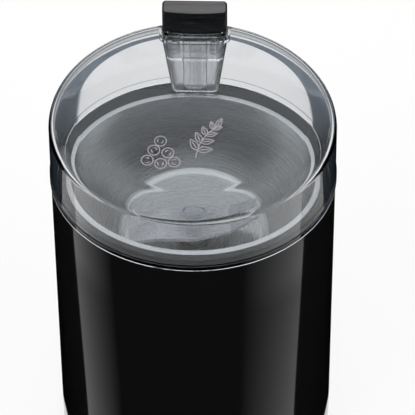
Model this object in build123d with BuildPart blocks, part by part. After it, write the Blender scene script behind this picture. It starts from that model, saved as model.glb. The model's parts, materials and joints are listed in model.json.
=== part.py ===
from build123d import *
from math import atan2, cos, pi, radians, sin, tan
import os

# Electric spice grinder, in millimetres, standing on z = 0.  The front faces -Y, the
# push button is at the back (+Y), and the shaft of the motor runs up the Z axis.

# ---------------------------------------------------------------------------------
# Outside
# ---------------------------------------------------------------------------------
BODY_WIDTH = 102.0  # left to right, over the bead of the lid
BODY_DEPTH = 84.0  # front to back, over the bead of the lid
FOOT_HEIGHT = 2.0  # the feet hold the base plate this far up

HOUSING_SETBACK = 0.4  # the housing stands back from the bead
HOUSING_DRAFT = 0.25  # degrees, narrowing towards the bottom
HOUSING_WALL = 2.5
HOUSING_FOOT_BEVEL = 1.2  # outer edge at the bottom
HOUSING_RIM_BEVEL = 0.4  # outer edge at the top

# ---------------------------------------------------------------------------------
# Clearances
# ---------------------------------------------------------------------------------
SEAT_GAP = 0.1  # between pieces that are fixed to each other
SLIDE_GAP = 0.3  # between pieces that slide past each other
RUNNING_GAP = 0.05  # radial, between a shaft and what it turns in
TOUCH_GAP = 0.2  # between two pieces that push each other

# ---------------------------------------------------------------------------------
# Top deck and its fixing
# ---------------------------------------------------------------------------------
DECK_FLANGE_THICKNESS = 2.5
COLLAR_HEIGHT = 3.7  # above the parting plane
COLLAR_SETBACK = 0.85  # collar inside the edge of the flange
COLLAR_BACK_GAP = 0.8  # the back of the collar is cut straight, this far before the push rod
COLLAR_BEVEL = 0.5
LEDGE_WIDTH = 2.6  # inside the housing, under the deck
LEDGE_THICKNESS = 4.0
LUG_RADIUS = 2.9
LUG_INSET = 3.5  # lug centre inside the wall of the housing
LUG_ANGLE = 62.0
TONGUE_WIDTH = 26.0  # holds the front of the deck down in a groove of the housing
TONGUE_DEPTH = 1.2
TONGUE_THICKNESS = 1.4
DECK_SCREW_LENGTH = 8.5
DECK_SCREW_RADIUS = 1.2
DECK_SCREW_HEAD_RADIUS = 2.2
DECK_SCREW_HEAD_HEIGHT = 1.8

# ---------------------------------------------------------------------------------
# Bowl
# ---------------------------------------------------------------------------------
BOWL_SIDE_RIM = 3.95  # collar left beside the mouth
BOWL_FRONT_RIM = 3.65
BOWL_BACK_RIM = 3.1
BOWL_DEPTH = 39.7  # from the top of the collar to the floor
BOWL_FLOOR_RADIUS = 26.5
BOWL_STEEL = 0.8
BOWL_LIP_WIDTH = 1.1
BOWL_CORNER_RADIUS = 4.0  # inside, between the floor and the wall
BOWL_SECTIONS = 5
GASKET_THICKNESS = 0.6
SEAL_HOLE_RADIUS = 6.0
SEAL_FLANGE_RADIUS = 8.0
SEAL_LIP = 0.6  # the seal stands above the floor
SEAL_BODY_HEIGHT = 7.2  # from the hub of the motor to the bowl

# ---------------------------------------------------------------------------------
# Lid
# ---------------------------------------------------------------------------------
LID_WALL = 2.0
LID_BEAD = 0.3
LID_BEAD_HEIGHT = 3.0
LID_HEIGHT = 37.9  # from the housing to the flat top, at the middle
LID_TILT = 2.9  # degrees, the top rises towards the back
LID_SHOULDER_RADIUS = 9.0

# ---------------------------------------------------------------------------------
# Push button, push rod and the channel in the lid
# ---------------------------------------------------------------------------------
BUTTON_TRAVEL = 4.0
BUTTON_WIDTH = 22.9
BUTTON_HEIGHT = 11.1  # above its neck
BUTTON_LEAD = 2.5  # corners of the front, before the line of the push rod
BUTTON_FRONT_BULGE = 0.6
BUTTON_BACK_INSET = 1.9  # the back follows the oval, inside the wall of the lid
BUTTON_STEP_RISE = 1.4  # where it narrows to its neck, above the middle of the top
BUTTON_EDGE_RADIUS = 0.7
BUTTON_CORNER_RADIUS = 1.4
NECK_SIDE_GAP = 0.9  # beside the neck at the top of the channel
NECK_LENGTH = 5.5
ROD_WIDTH = 8.4
ROD_THICKNESS = 2.4
ROD_FOOT_RADIUS = 2.6
PLUNGER_INSET = 6.0  # line of the rod, plunger and switch, inside the back of the body
CHANNEL_TOP_STEP = 1.05  # the channel is this much narrower than the button at each side
CHANNEL_FOOT_WIDTH = 14.1
CHANNEL_DEPTH = 4.2
CHANNEL_WALL = 1.4
CHANNEL_GAP = 0.8  # channel foot above the collar
SHELF_THICKNESS = 1.5  # carries the springs of the button
BUTTON_SPRING_LENGTH = 10.3
BUTTON_SPRING_INSET = 0.9  # outside of the coil, inside the end of the neck
BUTTON_SPRING_RADIUS = 1.45
BUTTON_SPRING_WIRE = 0.5
BUTTON_SPRING_TURNS = 4

# ---------------------------------------------------------------------------------
# Switch plunger, its guide and the switch
# ---------------------------------------------------------------------------------
PLUNGER_WIDTH = 8.0
PLUNGER_THICKNESS = 2.2
GUIDE_SIDE = 1.6  # wall beside the window
GUIDE_DEPTH = 4.2
GUIDE_SLEEVE = 4.5  # length of the slot that leads the plunger
GUIDE_CHAMBER = 9.4  # height of the window below the sleeve
GUIDE_PLATE = 1.6
SHOULDER_STEP = 1.5  # the shoulder is wider than the plunger at each side
SHOULDER_SIDE_GAP = 0.4
PLUNGER_SHOULDER_DEPTH = 3.8
PLUNGER_SHOULDER = 1.6
STEM_RADIUS = 1.3
STEM_BEVEL = 0.8
PLUNGER_SPRING_WIRE = 0.5
PLUNGER_SPRING_GAP = 0.15  # inside the coil, round the stem
PLUNGER_SPRING_TURNS = 4
LEVER_ARM = 13.5  # from the pivot to the line of the plunger
LEVER_THICKNESS = 0.8
LEVER_WIDTH = 1.6
LEVER_PAD = 2.0  # the pad reaches this far to either side of the stem
LEVER_PIN_RADIUS = 0.8
LEVER_HUB_RADIUS = 1.5
LEVER_TIP_GAP = 1.2  # stem below the guide
SWITCH_LENGTH = 20.0
SWITCH_DEPTH = 4.4
SWITCH_HEIGHT = 12.0
SWITCH_SETBACK = 2.0  # middle of the switch before the line of the plunger
SWITCH_EAR = 1.0
SWITCH_EAR_HALF_LENGTH = 2.2
SWITCH_ARM = 3.0  # of the guide, holds the switch at its side

# ---------------------------------------------------------------------------------
# Motor
# ---------------------------------------------------------------------------------
SHAFT_RADIUS = 3.0
SHAFT_END = 1.5  # below the lower hub
SHAFT_TIP_CHAMFER = 0.6
BUSH_RADIUS = 5.0
BRACKET_HUB_RADIUS = 8.0
BRACKET_THICKNESS = 3.0
BRACKET_WIDTH = 12.0
HUB_DROP = 3.0  # the lower hub hangs below its bracket
HUB_RISE = 3.0  # and both hubs rise above theirs
PILLAR_HEIGHT = 19.0
COMMUTATOR_GAP = 2.0  # above the lower hub
COMMUTATOR_HEIGHT = 13.0
COMMUTATOR_RADIUS = 9.5
COMMUTATOR_BARS = 12
BAR_GAP = 0.6
WINDING_HEIGHT = 5.5
WINDING_INSET = 1.6
WINDING_BEVEL = 2.5
WINDING_GAP = 0.5  # above the commutator
STACK_HEIGHT = 30.0
ARMATURE_RADIUS = 16.0
ARMATURE_SLOTS = 12
ARMATURE_SLOT_DEPTH = 5.5
ARMATURE_SLOT_WIDTH = 3.4
ARMATURE_SLOT_CAP = 1.3  # thickness of the teeth's heads beside the mouth
ARMATURE_SLOT_MOUTH = 1.2
AIR_GAP = 0.5
STATOR_WIDTH = 62.0
STATOR_DEPTH = 52.0
STATOR_CORNER = 12.0
POLE_WALL = 1.5  # iron between the rotor and the coil
COIL_THICKNESS = 7.0
COIL_BAND = 5.5
COIL_INSIDE_WIDTH = 22.4
COIL_CORNER = 3.0
BOLT_INSET = 4.0  # inside the edge of the stator
BOLT_RADIUS = 1.6
BOLT_HEAD_RADIUS = 2.8
BOLT_HEAD_HEIGHT = 1.8
NUT_RADIUS = 3.2
NUT_HEIGHT = 2.6
LEG_DEPTH = 6.0
DAMPER_SIDE_INSET = 21.5  # centre inside the sides of the body
DAMPER_END_INSET = 12.5  # and inside its front and back
DAMPER_EDGE = 4.5  # bracket beyond the centre of a damper
DAMPER_RADIUS = 4.0
DAMPER_HEIGHT = 4.0
PILLAR_RADIUS = 4.6
FAN_GAP = 1.7  # above the windings
FAN_HEADROOM = 1.2
FAN_RADIUS = 18.0
FAN_DISC = 1.4
FAN_HEIGHT = 8.6
FAN_BLADES = 9
FAN_BLADE_THICKNESS = 1.2
FAN_HUB_RADIUS = 6.0

BRUSH_SIDE = 5.0
BRUSH_LENGTH = 10.0
BRUSH_HOLDER_WALL = 0.8
BRUSH_HOLDER_GAP = 3.0  # outside the commutator
BRUSH_HOLDER_LENGTH = 16.5
BRUSH_SPRING_RADIUS = 1.7
BRUSH_SPRING_WIRE = 0.5
BRUSH_SPRING_TURNS = 3
BRUSH_POST_REACH = 9.5  # centre of the post beyond the start of its holder
BRUSH_POST_SIDE = 7.0

# ---------------------------------------------------------------------------------
# Blade
# ---------------------------------------------------------------------------------
BLADE_HUB_RADIUS = 5.5
BLADE_HUB_HEIGHT = 3.4
BLADE_HUB_LIFT = 0.8  # above the seal
BLADE_THICKNESS = 1.6
BLADE_FLOOR_GAP = 3.5  # the tips stay this far inside the round floor
BLADE_ROOT_WIDTH = 13.0
BLADE_TIP_WIDTH = 6.0
BLADE_BEND_X = 13.0
BLADE_RISE = 5.0
BLADE_DROP = 2.2
BLADE_NUT_RADIUS = 5.2
BLADE_NUT_HEIGHT = 3.0
BLADE_CAP_HEIGHT = 1.8
BLADE_CAP_BEVEL = 1.2

# ---------------------------------------------------------------------------------
# Base plate, feet, inlet and electrical pieces
# ---------------------------------------------------------------------------------
BASE_THICKNESS = 3.0
FOOT_RADIUS = 5.0
FOOT_RECESS = 1.0
FOOT_INSET = 11.0
FOOT_ANGLE = 42.0
FOOT_BEVEL = 0.5
BASE_BOSS_RADIUS = 4.4
BASE_BOSS_HEIGHT = 14.0
BASE_BOSS_INSET = 4.0
BASE_BOSS_ANGLE = 18.0
BASE_SCREW_RADIUS = 1.5
BASE_SCREW_HEAD_RADIUS = 2.8
BASE_SCREW_HEAD_HEIGHT = 1.6
BASE_SCREW_LENGTH = 10.0
VENT_WIDTH = 2.4
VENT_LENGTH = 22.0
VENT_PITCH = 6.0
VENT_COUNT = 7
INLET_WIDTH = 12.0
INLET_HEIGHT = 13.0
INLET_BORE_RADIUS = 3.2
INLET_LENGTH = 7.2
INLET_CORNER = 1.5
INLET_FLANGE = 1.7  # thickness of the flange behind the wall
INLET_FLANGE_GAP = 0.7  # the wall curves towards the flat flange
INLET_FLANGE_STEP = 1.5  # the flange is wider than the throat at each side
INLET_BEVEL = 0.4
TERMINAL_SIZE = (14.0, 9.0, 9.0)
TERMINAL_INSET = 12.0
TERMINAL_ANGLE = 121.5
TERMINAL_SCREW_RADIUS = 1.6
CAPACITOR_SIZE = (16.0, 6.5, 12.0)
CAPACITOR_INSET = 11.0
CAPACITOR_ANGLE = 59.0
CAPACITOR_EDGE_RADIUS = 1.2
CAPACITOR_TOP_BEVEL = 0.6
CUTOUT_SIZE = (3.5, 10.0, 12.0)

# ---------------------------------------------------------------------------------
# Heights and places that follow
# ---------------------------------------------------------------------------------
half_width = BODY_WIDTH / 2
half_depth = BODY_DEPTH / 2
plunger_y = half_depth - PLUNGER_INSET

# Up the motor, from the base to the hub under the bowl.
base_top_z = FOOT_HEIGHT + BASE_THICKNESS
damper_z = base_top_z + PILLAR_HEIGHT
lower_bracket_z = damper_z + DAMPER_HEIGHT
lower_bracket_top_z = lower_bracket_z + BRACKET_THICKNESS
lower_hub_bottom_z = lower_bracket_z - HUB_DROP
lower_hub_top_z = lower_bracket_top_z + HUB_RISE
shaft_bottom_z = lower_hub_bottom_z - SHAFT_END
commutator_z = lower_hub_top_z + COMMUTATOR_GAP
brush_z = commutator_z + COMMUTATOR_HEIGHT / 2
stack_z = commutator_z + COMMUTATOR_HEIGHT + WINDING_GAP + WINDING_HEIGHT
stack_top_z = stack_z + STACK_HEIGHT
fan_z = stack_top_z + WINDING_HEIGHT + FAN_GAP
upper_bracket_z = fan_z + FAN_HEIGHT + FAN_HEADROOM
upper_bracket_top_z = upper_bracket_z + BRACKET_THICKNESS
hub_top_z = upper_bracket_top_z + HUB_RISE

# Up the bowl and the blade.
bowl_bottom_z = hub_top_z + SEAL_BODY_HEIGHT
bowl_floor_z = bowl_bottom_z + BOWL_STEEL
seal_top_z = bowl_floor_z + SEAL_LIP
blade_hub_z = seal_top_z + BLADE_HUB_LIFT
blade_z = blade_hub_z + BLADE_HUB_HEIGHT
blade_nut_z = blade_z + BLADE_THICKNESS
blade_reach = BOWL_FLOOR_RADIUS - BLADE_FLOOR_GAP
collar_top_z = bowl_floor_z + BOWL_DEPTH

# Down from the collar to the ledge that carries the deck.
parting_z = collar_top_z - COLLAR_HEIGHT
deck_seat_z = parting_z - DECK_FLANGE_THICKNESS
ledge_bottom_z = deck_seat_z - LEDGE_THICKNESS

# Up the lid and its channel.
lid_top_z = parting_z + LID_HEIGHT
channel_foot_z = collar_top_z + CHANNEL_GAP
button_step_z = lid_top_z + BUTTON_STEP_RISE
button_top_z = button_step_z + BUTTON_HEIGHT
neck_bottom_z = button_step_z - NECK_LENGTH
shelf_top_z = neck_bottom_z - BUTTON_SPRING_LENGTH
shelf_z = shelf_top_z - SHELF_THICKNESS
channel_top_width = BUTTON_WIDTH - 2 * CHANNEL_TOP_STEP
neck_width = channel_top_width - 2 * NECK_SIDE_GAP
neck_depth = CHANNEL_DEPTH - 2 * SLIDE_GAP

# Across the plunger and its guide.
plunger_slot = (PLUNGER_WIDTH + 2 * SLIDE_GAP, PLUNGER_THICKNESS + 2 * SLIDE_GAP)
shoulder_width = PLUNGER_WIDTH + 2 * SHOULDER_STEP
chamber_width = shoulder_width + 2 * SHOULDER_SIDE_GAP
guide_width = chamber_width + 2 * GUIDE_SIDE

# Plan of the motor.
stator_half_depth = STATOR_DEPTH / 2
damper_x = half_width - DAMPER_SIDE_INSET
damper_y = half_depth - DAMPER_END_INSET
bolt_y = stator_half_depth - BOLT_INSET
coil_near_x = ARMATURE_RADIUS + AIR_GAP + POLE_WALL
winding_radius = ARMATURE_RADIUS - WINDING_INSET
brush_holder_x = COMMUTATOR_RADIUS + BRUSH_HOLDER_GAP
brush_post_x = brush_holder_x + BRUSH_POST_REACH


def housing_axes(z, inset=0.0):
    """Half width and half depth of the drafted housing at a height, less an inset."""
    lean = (parting_z - z) * tan(radians(HOUSING_DRAFT))
    drawn_in = HOUSING_SETBACK + lean + inset
    return half_width - drawn_in, half_depth - drawn_in


def on_oval(axes, angle):
    """Point of an oval at an angle, for the four mirrored places."""
    return axes[0] * cos(radians(angle)), axes[1] * sin(radians(angle))


def four_corners(point):
    """A point and its mirror images in the X and Y planes."""
    x, y = point
    return [(x, y), (-x, y), (-x, -y), (x, -y)]


lug_points = four_corners(
    on_oval(housing_axes(deck_seat_z, HOUSING_WALL + LUG_INSET), LUG_ANGLE)
)[:2]
foot_points = four_corners(on_oval(housing_axes(FOOT_HEIGHT, FOOT_INSET), FOOT_ANGLE))
boss_points = four_corners(
    on_oval(housing_axes(base_top_z, HOUSING_WALL + BASE_BOSS_INSET), BASE_BOSS_ANGLE)
)
terminal_place = on_oval(housing_axes(base_top_z, TERMINAL_INSET), TERMINAL_ANGLE)
capacitor_place = on_oval(housing_axes(base_top_z, CAPACITOR_INSET), CAPACITOR_ANGLE)
damper_points = [(damper_x, 0), (-damper_x, 0), (0, damper_y), (0, -damper_y)]
bolt_points = [(0, bolt_y), (0, -bolt_y)]

os.makedirs("parts", exist_ok=True)


def write(builder, name):
    """Label a finished piece and write its STEP file."""
    builder.part.label = name
    export_step(builder.part, f"parts/{name}.step")


def oval_stack(levels):
    """Solid through a row of ovals, straight between them: pairs of height and half sizes."""
    with BuildPart() as form:
        for z, axes in levels:
            with BuildSketch(Plane.XY.offset(z)):
                Ellipse(*axes)
        loft(ruled=True)
    return form.part


# ---------------------------------------------------------------------------------
# Housing: one drafted oval shell, with a ledge for the deck and bosses for the base
# ---------------------------------------------------------------------------------
foot_bevel_z = FOOT_HEIGHT + HOUSING_FOOT_BEVEL
rim_bevel_z = parting_z - HOUSING_RIM_BEVEL
housing_outside = oval_stack(
    (
        (FOOT_HEIGHT, housing_axes(FOOT_HEIGHT, HOUSING_FOOT_BEVEL)),
        (foot_bevel_z, housing_axes(foot_bevel_z)),
        (rim_bevel_z, housing_axes(rim_bevel_z)),
        (parting_z, housing_axes(parting_z, HOUSING_RIM_BEVEL)),
    )
)
housing_inside = oval_stack(
    (
        (FOOT_HEIGHT, housing_axes(FOOT_HEIGHT, HOUSING_WALL)),
        (ledge_bottom_z, housing_axes(ledge_bottom_z, HOUSING_WALL)),
    )
)
wall_axes_at_deck = housing_axes(deck_seat_z, HOUSING_WALL)

with BuildPart() as housing:
    add(housing_outside)
    add(housing_inside, mode=Mode.SUBTRACT)
    with BuildSketch(Plane.XY.offset(deck_seat_z)):
        Ellipse(*wall_axes_at_deck)
    extrude(amount=DECK_FLANGE_THICKNESS, mode=Mode.SUBTRACT)
    with BuildSketch(Plane.XY.offset(ledge_bottom_z)):
        Ellipse(*housing_axes(deck_seat_z, HOUSING_WALL + LEDGE_WIDTH))
        with Locations(*lug_points):
            Circle(LUG_RADIUS, mode=Mode.SUBTRACT)
    extrude(amount=LEDGE_THICKNESS, mode=Mode.SUBTRACT)
    # Room for the guide of the plunger, which hangs from the deck at the back.
    with BuildSketch(Plane.XY.offset(ledge_bottom_z)):
        with Locations((0, plunger_y - LEDGE_WIDTH)):
            Rectangle(guide_width + 2 * SLIDE_GAP, GUIDE_DEPTH + 2 * LEDGE_WIDTH)
        Ellipse(*wall_axes_at_deck, mode=Mode.INTERSECT)
    extrude(amount=LEDGE_THICKNESS, mode=Mode.SUBTRACT)
    with BuildSketch(Plane.XY.offset(ledge_bottom_z)):
        with Locations(*lug_points):
            Circle(DECK_SCREW_RADIUS + SEAT_GAP)
    extrude(amount=LEDGE_THICKNESS, mode=Mode.SUBTRACT)
    # Groove for the tongue of the deck.
    with BuildSketch(Plane.XY.offset(deck_seat_z)):
        with Locations((0, -half_depth)):
            Rectangle(TONGUE_WIDTH + 2 * SEAT_GAP, half_depth)
        Ellipse(*housing_axes(deck_seat_z, HOUSING_WALL - TONGUE_DEPTH - SEAT_GAP), mode=Mode.INTERSECT)
    extrude(amount=TONGUE_THICKNESS + SEAT_GAP, mode=Mode.SUBTRACT)
    # Screw bosses for the base plate, grown out of the wall.
    with BuildSketch(Plane.XY.offset(base_top_z)):
        with Locations(*boss_points):
            Circle(BASE_BOSS_RADIUS)
            Circle(BASE_SCREW_RADIUS, mode=Mode.SUBTRACT)
        Ellipse(*housing_axes(base_top_z, HOUSING_WALL / 2), mode=Mode.INTERSECT)
    extrude(amount=BASE_BOSS_HEIGHT)
    # Notch for the cord inlet, open at the bottom edge.
    with BuildSketch(Plane.XY.offset(FOOT_HEIGHT)):
        with Locations((0, half_depth)):
            Rectangle(INLET_WIDTH + 2 * SEAT_GAP, 2 * INLET_LENGTH)
    extrude(amount=BASE_THICKNESS + INLET_HEIGHT + SEAT_GAP, mode=Mode.SUBTRACT)
write(housing, "housing")

# ---------------------------------------------------------------------------------
# Base plate with vents, foot recesses, screw holes and pillars for the motor
# ---------------------------------------------------------------------------------
with BuildPart() as base_plate:
    with BuildSketch(Plane.XY.offset(FOOT_HEIGHT)):
        Ellipse(*housing_axes(FOOT_HEIGHT, HOUSING_WALL + SEAT_GAP))
        with GridLocations(VENT_PITCH, 0, VENT_COUNT, 1):
            Rectangle(VENT_WIDTH, VENT_LENGTH, mode=Mode.SUBTRACT)
        with Locations(*boss_points):
            Circle(BASE_SCREW_RADIUS + SEAT_GAP, mode=Mode.SUBTRACT)
    extrude(amount=BASE_THICKNESS)
    with BuildSketch(Plane.XY.offset(FOOT_HEIGHT)):
        with Locations(*foot_points):
            Circle(FOOT_RADIUS + SEAT_GAP)
    extrude(amount=FOOT_RECESS, mode=Mode.SUBTRACT)
    with BuildSketch(Plane.XY.offset(FOOT_HEIGHT)):
        with Locations(*boss_points):
            Circle(BASE_SCREW_HEAD_RADIUS + SEAT_GAP)
    extrude(amount=BASE_SCREW_HEAD_HEIGHT, mode=Mode.SUBTRACT)
    with BuildSketch(Plane.XY.offset(base_top_z)):
        with Locations(*damper_points):
            Circle(PILLAR_RADIUS)
    extrude(amount=PILLAR_HEIGHT)
write(base_plate, "base_plate")

foot_names = ["foot_back_right", "foot_back_left", "foot_front_left", "foot_front_right"]
for foot_name, foot_point in zip(foot_names, foot_points):
    with BuildPart() as foot:
        with BuildSketch(Plane.XY):
            with Locations(foot_point):
                Circle(FOOT_RADIUS)
        extrude(amount=FOOT_HEIGHT + FOOT_RECESS)
        chamfer(foot.edges().group_by(Axis.Z)[0], FOOT_BEVEL)
    write(foot, foot_name)

with BuildPart() as base_screws:
    with BuildSketch(Plane.XY.offset(FOOT_HEIGHT)):
        with Locations(*boss_points):
            Circle(BASE_SCREW_HEAD_RADIUS)
    extrude(amount=BASE_SCREW_HEAD_HEIGHT)
    with BuildSketch(Plane.XY.offset(FOOT_HEIGHT)):
        with Locations(*boss_points):
            Circle(BASE_SCREW_RADIUS)
    extrude(amount=BASE_SCREW_LENGTH)
write(base_screws, "base_screws")

# ---------------------------------------------------------------------------------
# Top deck: flange inside the housing, raised collar with a flat back
# ---------------------------------------------------------------------------------
collar_inset = HOUSING_WALL + SEAT_GAP + COLLAR_SETBACK
collar_axes = housing_axes(parting_z, collar_inset)
collar_bevel_axes = housing_axes(parting_z, collar_inset + COLLAR_BEVEL)
collar_flat_y = plunger_y - ROD_THICKNESS / 2 - COLLAR_BACK_GAP
flange_axes = housing_axes(deck_seat_z, HOUSING_WALL + SEAT_GAP)

# The mouth fills the collar but for its rims, so it lies towards the front.
mouth_front_y = BOWL_FRONT_RIM - collar_axes[1]
mouth_back_y = collar_flat_y - BOWL_BACK_RIM
mouth_y = (mouth_front_y + mouth_back_y) / 2
mouth_axes = (collar_axes[0] - BOWL_SIDE_RIM, (mouth_back_y - mouth_front_y) / 2)
outer_mouth_axes = (mouth_axes[0] + BOWL_STEEL, mouth_axes[1] + BOWL_STEEL)
lip_axes = (outer_mouth_axes[0] + BOWL_LIP_WIDTH, outer_mouth_axes[1] + BOWL_LIP_WIDTH)
rebate_depth = GASKET_THICKNESS + BOWL_STEEL
rebate_z = collar_top_z - rebate_depth

collar = oval_stack(
    (
        (parting_z, collar_axes),
        (collar_top_z - COLLAR_BEVEL, collar_axes),
        (collar_top_z, collar_bevel_axes),
    )
)

with BuildPart() as top_deck:
    add(collar)
    with BuildSketch(Plane.XY.offset(parting_z)):
        with Locations((0, collar_flat_y)):
            Rectangle(BODY_WIDTH, half_depth, align=(Align.CENTER, Align.MIN))
    extrude(amount=COLLAR_HEIGHT, mode=Mode.SUBTRACT)
    with BuildSketch(Plane.XY.offset(deck_seat_z)):
        Ellipse(*flange_axes)
    extrude(amount=DECK_FLANGE_THICKNESS)
    with BuildSketch(Plane.XY.offset(deck_seat_z)):
        with Locations((0, -half_depth)):
            Rectangle(TONGUE_WIDTH, half_depth)
        Ellipse(*housing_axes(deck_seat_z, HOUSING_WALL - TONGUE_DEPTH), mode=Mode.INTERSECT)
    extrude(amount=TONGUE_THICKNESS)
    with BuildSketch(Plane.XY.offset(deck_seat_z)):
        with Locations((0, mouth_y)):
            Ellipse(outer_mouth_axes[0] + SEAT_GAP, outer_mouth_axes[1] + SEAT_GAP)
    extrude(amount=DECK_FLANGE_THICKNESS + COLLAR_HEIGHT, mode=Mode.SUBTRACT)
    with BuildSketch(Plane.XY.offset(rebate_z)):
        with Locations((0, mouth_y)):
            Ellipse(lip_axes[0] + SEAT_GAP, lip_axes[1] + SEAT_GAP)
    extrude(amount=rebate_depth, mode=Mode.SUBTRACT)
    with BuildSketch(Plane.XY.offset(deck_seat_z)):
        with Locations((0, plunger_y)):
            Rectangle(*plunger_slot)
    extrude(amount=DECK_FLANGE_THICKNESS, mode=Mode.SUBTRACT)
    with BuildSketch(Plane.XY.offset(deck_seat_z)):
        with Locations(*lug_points):
            Circle(DECK_SCREW_RADIUS)
    extrude(amount=DECK_SCREW_LENGTH - LEDGE_THICKNESS, mode=Mode.SUBTRACT)
write(top_deck, "top_deck")

with BuildPart() as deck_screws:
    with BuildSketch(Plane.XY.offset(ledge_bottom_z)):
        with Locations(*lug_points):
            Circle(DECK_SCREW_RADIUS)
    extrude(amount=DECK_SCREW_LENGTH)
    with BuildSketch(Plane.XY.offset(ledge_bottom_z)):
        with Locations(*lug_points):
            Circle(DECK_SCREW_HEAD_RADIUS)
    extrude(amount=-DECK_SCREW_HEAD_HEIGHT)
write(deck_screws, "deck_screws")

with BuildPart() as bowl_gasket:
    with BuildSketch(Plane.XY.offset(rebate_z)):
        with Locations((0, mouth_y)):
            Ellipse(*lip_axes)
            Ellipse(outer_mouth_axes[0] + SEAT_GAP, outer_mouth_axes[1] + SEAT_GAP, mode=Mode.SUBTRACT)
    extrude(amount=GASKET_THICKNESS)
write(bowl_gasket, "bowl_gasket")


# ---------------------------------------------------------------------------------
# Bowl: an oval mouth that flows into a round floor
# ---------------------------------------------------------------------------------
def bowl_form(grow, z_low):
    """Solid of the hollow, grown outwards by a wall, from a floor height to the mouth."""
    with BuildPart() as form:
        for step in range(BOWL_SECTIONS):
            rise = step / (BOWL_SECTIONS - 1)
            opening = sin(rise * pi / 2)
            with BuildSketch(Plane.XY.offset(z_low + rise * (collar_top_z - z_low))):
                with Locations((0, opening * mouth_y)):
                    Ellipse(
                        BOWL_FLOOR_RADIUS + opening * (mouth_axes[0] - BOWL_FLOOR_RADIUS) + grow,
                        BOWL_FLOOR_RADIUS + opening * (mouth_axes[1] - BOWL_FLOOR_RADIUS) + grow,
                    )
        loft()
        fillet(form.edges().group_by(Axis.Z)[0], BOWL_CORNER_RADIUS + grow)
    return form.part


bowl_outside = bowl_form(BOWL_STEEL, bowl_bottom_z)
bowl_hollow = bowl_form(0.0, bowl_floor_z)

with BuildPart() as grinding_bowl:
    add(bowl_outside)
    with BuildSketch(Plane.XY.offset(collar_top_z - BOWL_STEEL)):
        with Locations((0, mouth_y)):
            Ellipse(*lip_axes)
    extrude(amount=BOWL_STEEL)
    add(bowl_hollow, mode=Mode.SUBTRACT)
    with BuildSketch(Plane.XY.offset(bowl_bottom_z)):
        Circle(SEAL_HOLE_RADIUS)
    extrude(amount=BOWL_STEEL, mode=Mode.SUBTRACT)
write(grinding_bowl, "grinding_bowl")

with BuildPart() as shaft_seal:
    with BuildSketch(Plane.XZ):
        with BuildLine():
            Polyline(
                (SHAFT_RADIUS + RUNNING_GAP, hub_top_z),
                (SEAL_FLANGE_RADIUS, hub_top_z),
                (SEAL_FLANGE_RADIUS, bowl_bottom_z),
                (SEAL_HOLE_RADIUS, bowl_bottom_z),
                (SEAL_HOLE_RADIUS, bowl_floor_z),
                (SEAL_HOLE_RADIUS - SEAL_LIP, seal_top_z),
                (SHAFT_RADIUS + RUNNING_GAP, seal_top_z),
                close=True,
            )
        make_face()
    revolve(axis=Axis.Z)
write(shaft_seal, "shaft_seal")


# ---------------------------------------------------------------------------------
# Motor: brackets, bushes, stator, coils, brushes
# ---------------------------------------------------------------------------------
holder_half = BRUSH_SIDE / 2 + BRUSH_HOLDER_WALL

with BuildPart() as lower_motor_bracket:
    with BuildSketch(Plane.XY.offset(lower_bracket_z)):
        SlotOverall(2 * (damper_x + DAMPER_EDGE), BRACKET_WIDTH)
        SlotOverall(2 * (damper_y + DAMPER_EDGE), BRACKET_WIDTH, rotation=90)
    extrude(amount=BRACKET_THICKNESS)
    with BuildSketch(Plane.XY.offset(lower_hub_bottom_z)):
        Circle(BRACKET_HUB_RADIUS)
    extrude(amount=lower_hub_top_z - lower_hub_bottom_z)
    with BuildSketch(Plane.XY.offset(lower_bracket_top_z)):
        with Locations(*bolt_points):
            Rectangle(BRACKET_WIDTH, LEG_DEPTH)
    extrude(amount=stack_z - lower_bracket_top_z)
    # Posts that carry the brush holders.
    with BuildSketch(Plane.XY.offset(lower_bracket_top_z)):
        with Locations((brush_post_x, 0), (-brush_post_x, 0)):
            Rectangle(BRUSH_POST_SIDE, BRUSH_POST_SIDE)
    extrude(amount=brush_z - holder_half - lower_bracket_top_z)
    with BuildSketch(Plane.XY.offset(lower_hub_bottom_z)):
        Circle(BUSH_RADIUS)
        with Locations(*bolt_points):
            Circle(BOLT_RADIUS)
    extrude(amount=stack_z - lower_hub_bottom_z, mode=Mode.SUBTRACT)
    # Pockets that hold the nuts from below.
    with BuildSketch(Plane.XY.offset(lower_bracket_z)):
        with Locations(*bolt_points):
            RegularPolygon(NUT_RADIUS, 6)
    extrude(amount=NUT_HEIGHT, mode=Mode.SUBTRACT)
write(lower_motor_bracket, "lower_motor_bracket")

with BuildPart() as upper_motor_bracket:
    with BuildSketch(Plane.XY.offset(upper_bracket_z)):
        SlotOverall(2 * bolt_y + BRACKET_WIDTH, BRACKET_WIDTH, rotation=90)
    extrude(amount=BRACKET_THICKNESS)
    with BuildSketch(Plane.XY.offset(upper_bracket_z)):
        Circle(BRACKET_HUB_RADIUS)
    extrude(amount=BRACKET_THICKNESS + HUB_RISE)
    with BuildSketch(Plane.XY.offset(stack_top_z)):
        with Locations(*bolt_points):
            Rectangle(BRACKET_WIDTH, LEG_DEPTH)
    extrude(amount=upper_bracket_z - stack_top_z)
    with BuildSketch(Plane.XY.offset(stack_top_z)):
        Circle(BUSH_RADIUS)
        with Locations(*bolt_points):
            Circle(BOLT_RADIUS)
    extrude(amount=hub_top_z - stack_top_z, mode=Mode.SUBTRACT)
write(upper_motor_bracket, "upper_motor_bracket")

bushes = {
    "lower_bearing_bush": (lower_hub_bottom_z, lower_hub_top_z),
    "upper_bearing_bush": (upper_bracket_z, hub_top_z),
}
for bush_name, (bush_low, bush_high) in bushes.items():
    with BuildPart() as bush:
        with BuildSketch(Plane.XY.offset(bush_low)):
            Circle(BUSH_RADIUS)
            Circle(SHAFT_RADIUS + RUNNING_GAP, mode=Mode.SUBTRACT)
        extrude(amount=bush_high - bush_low)
    write(bush, bush_name)

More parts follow.
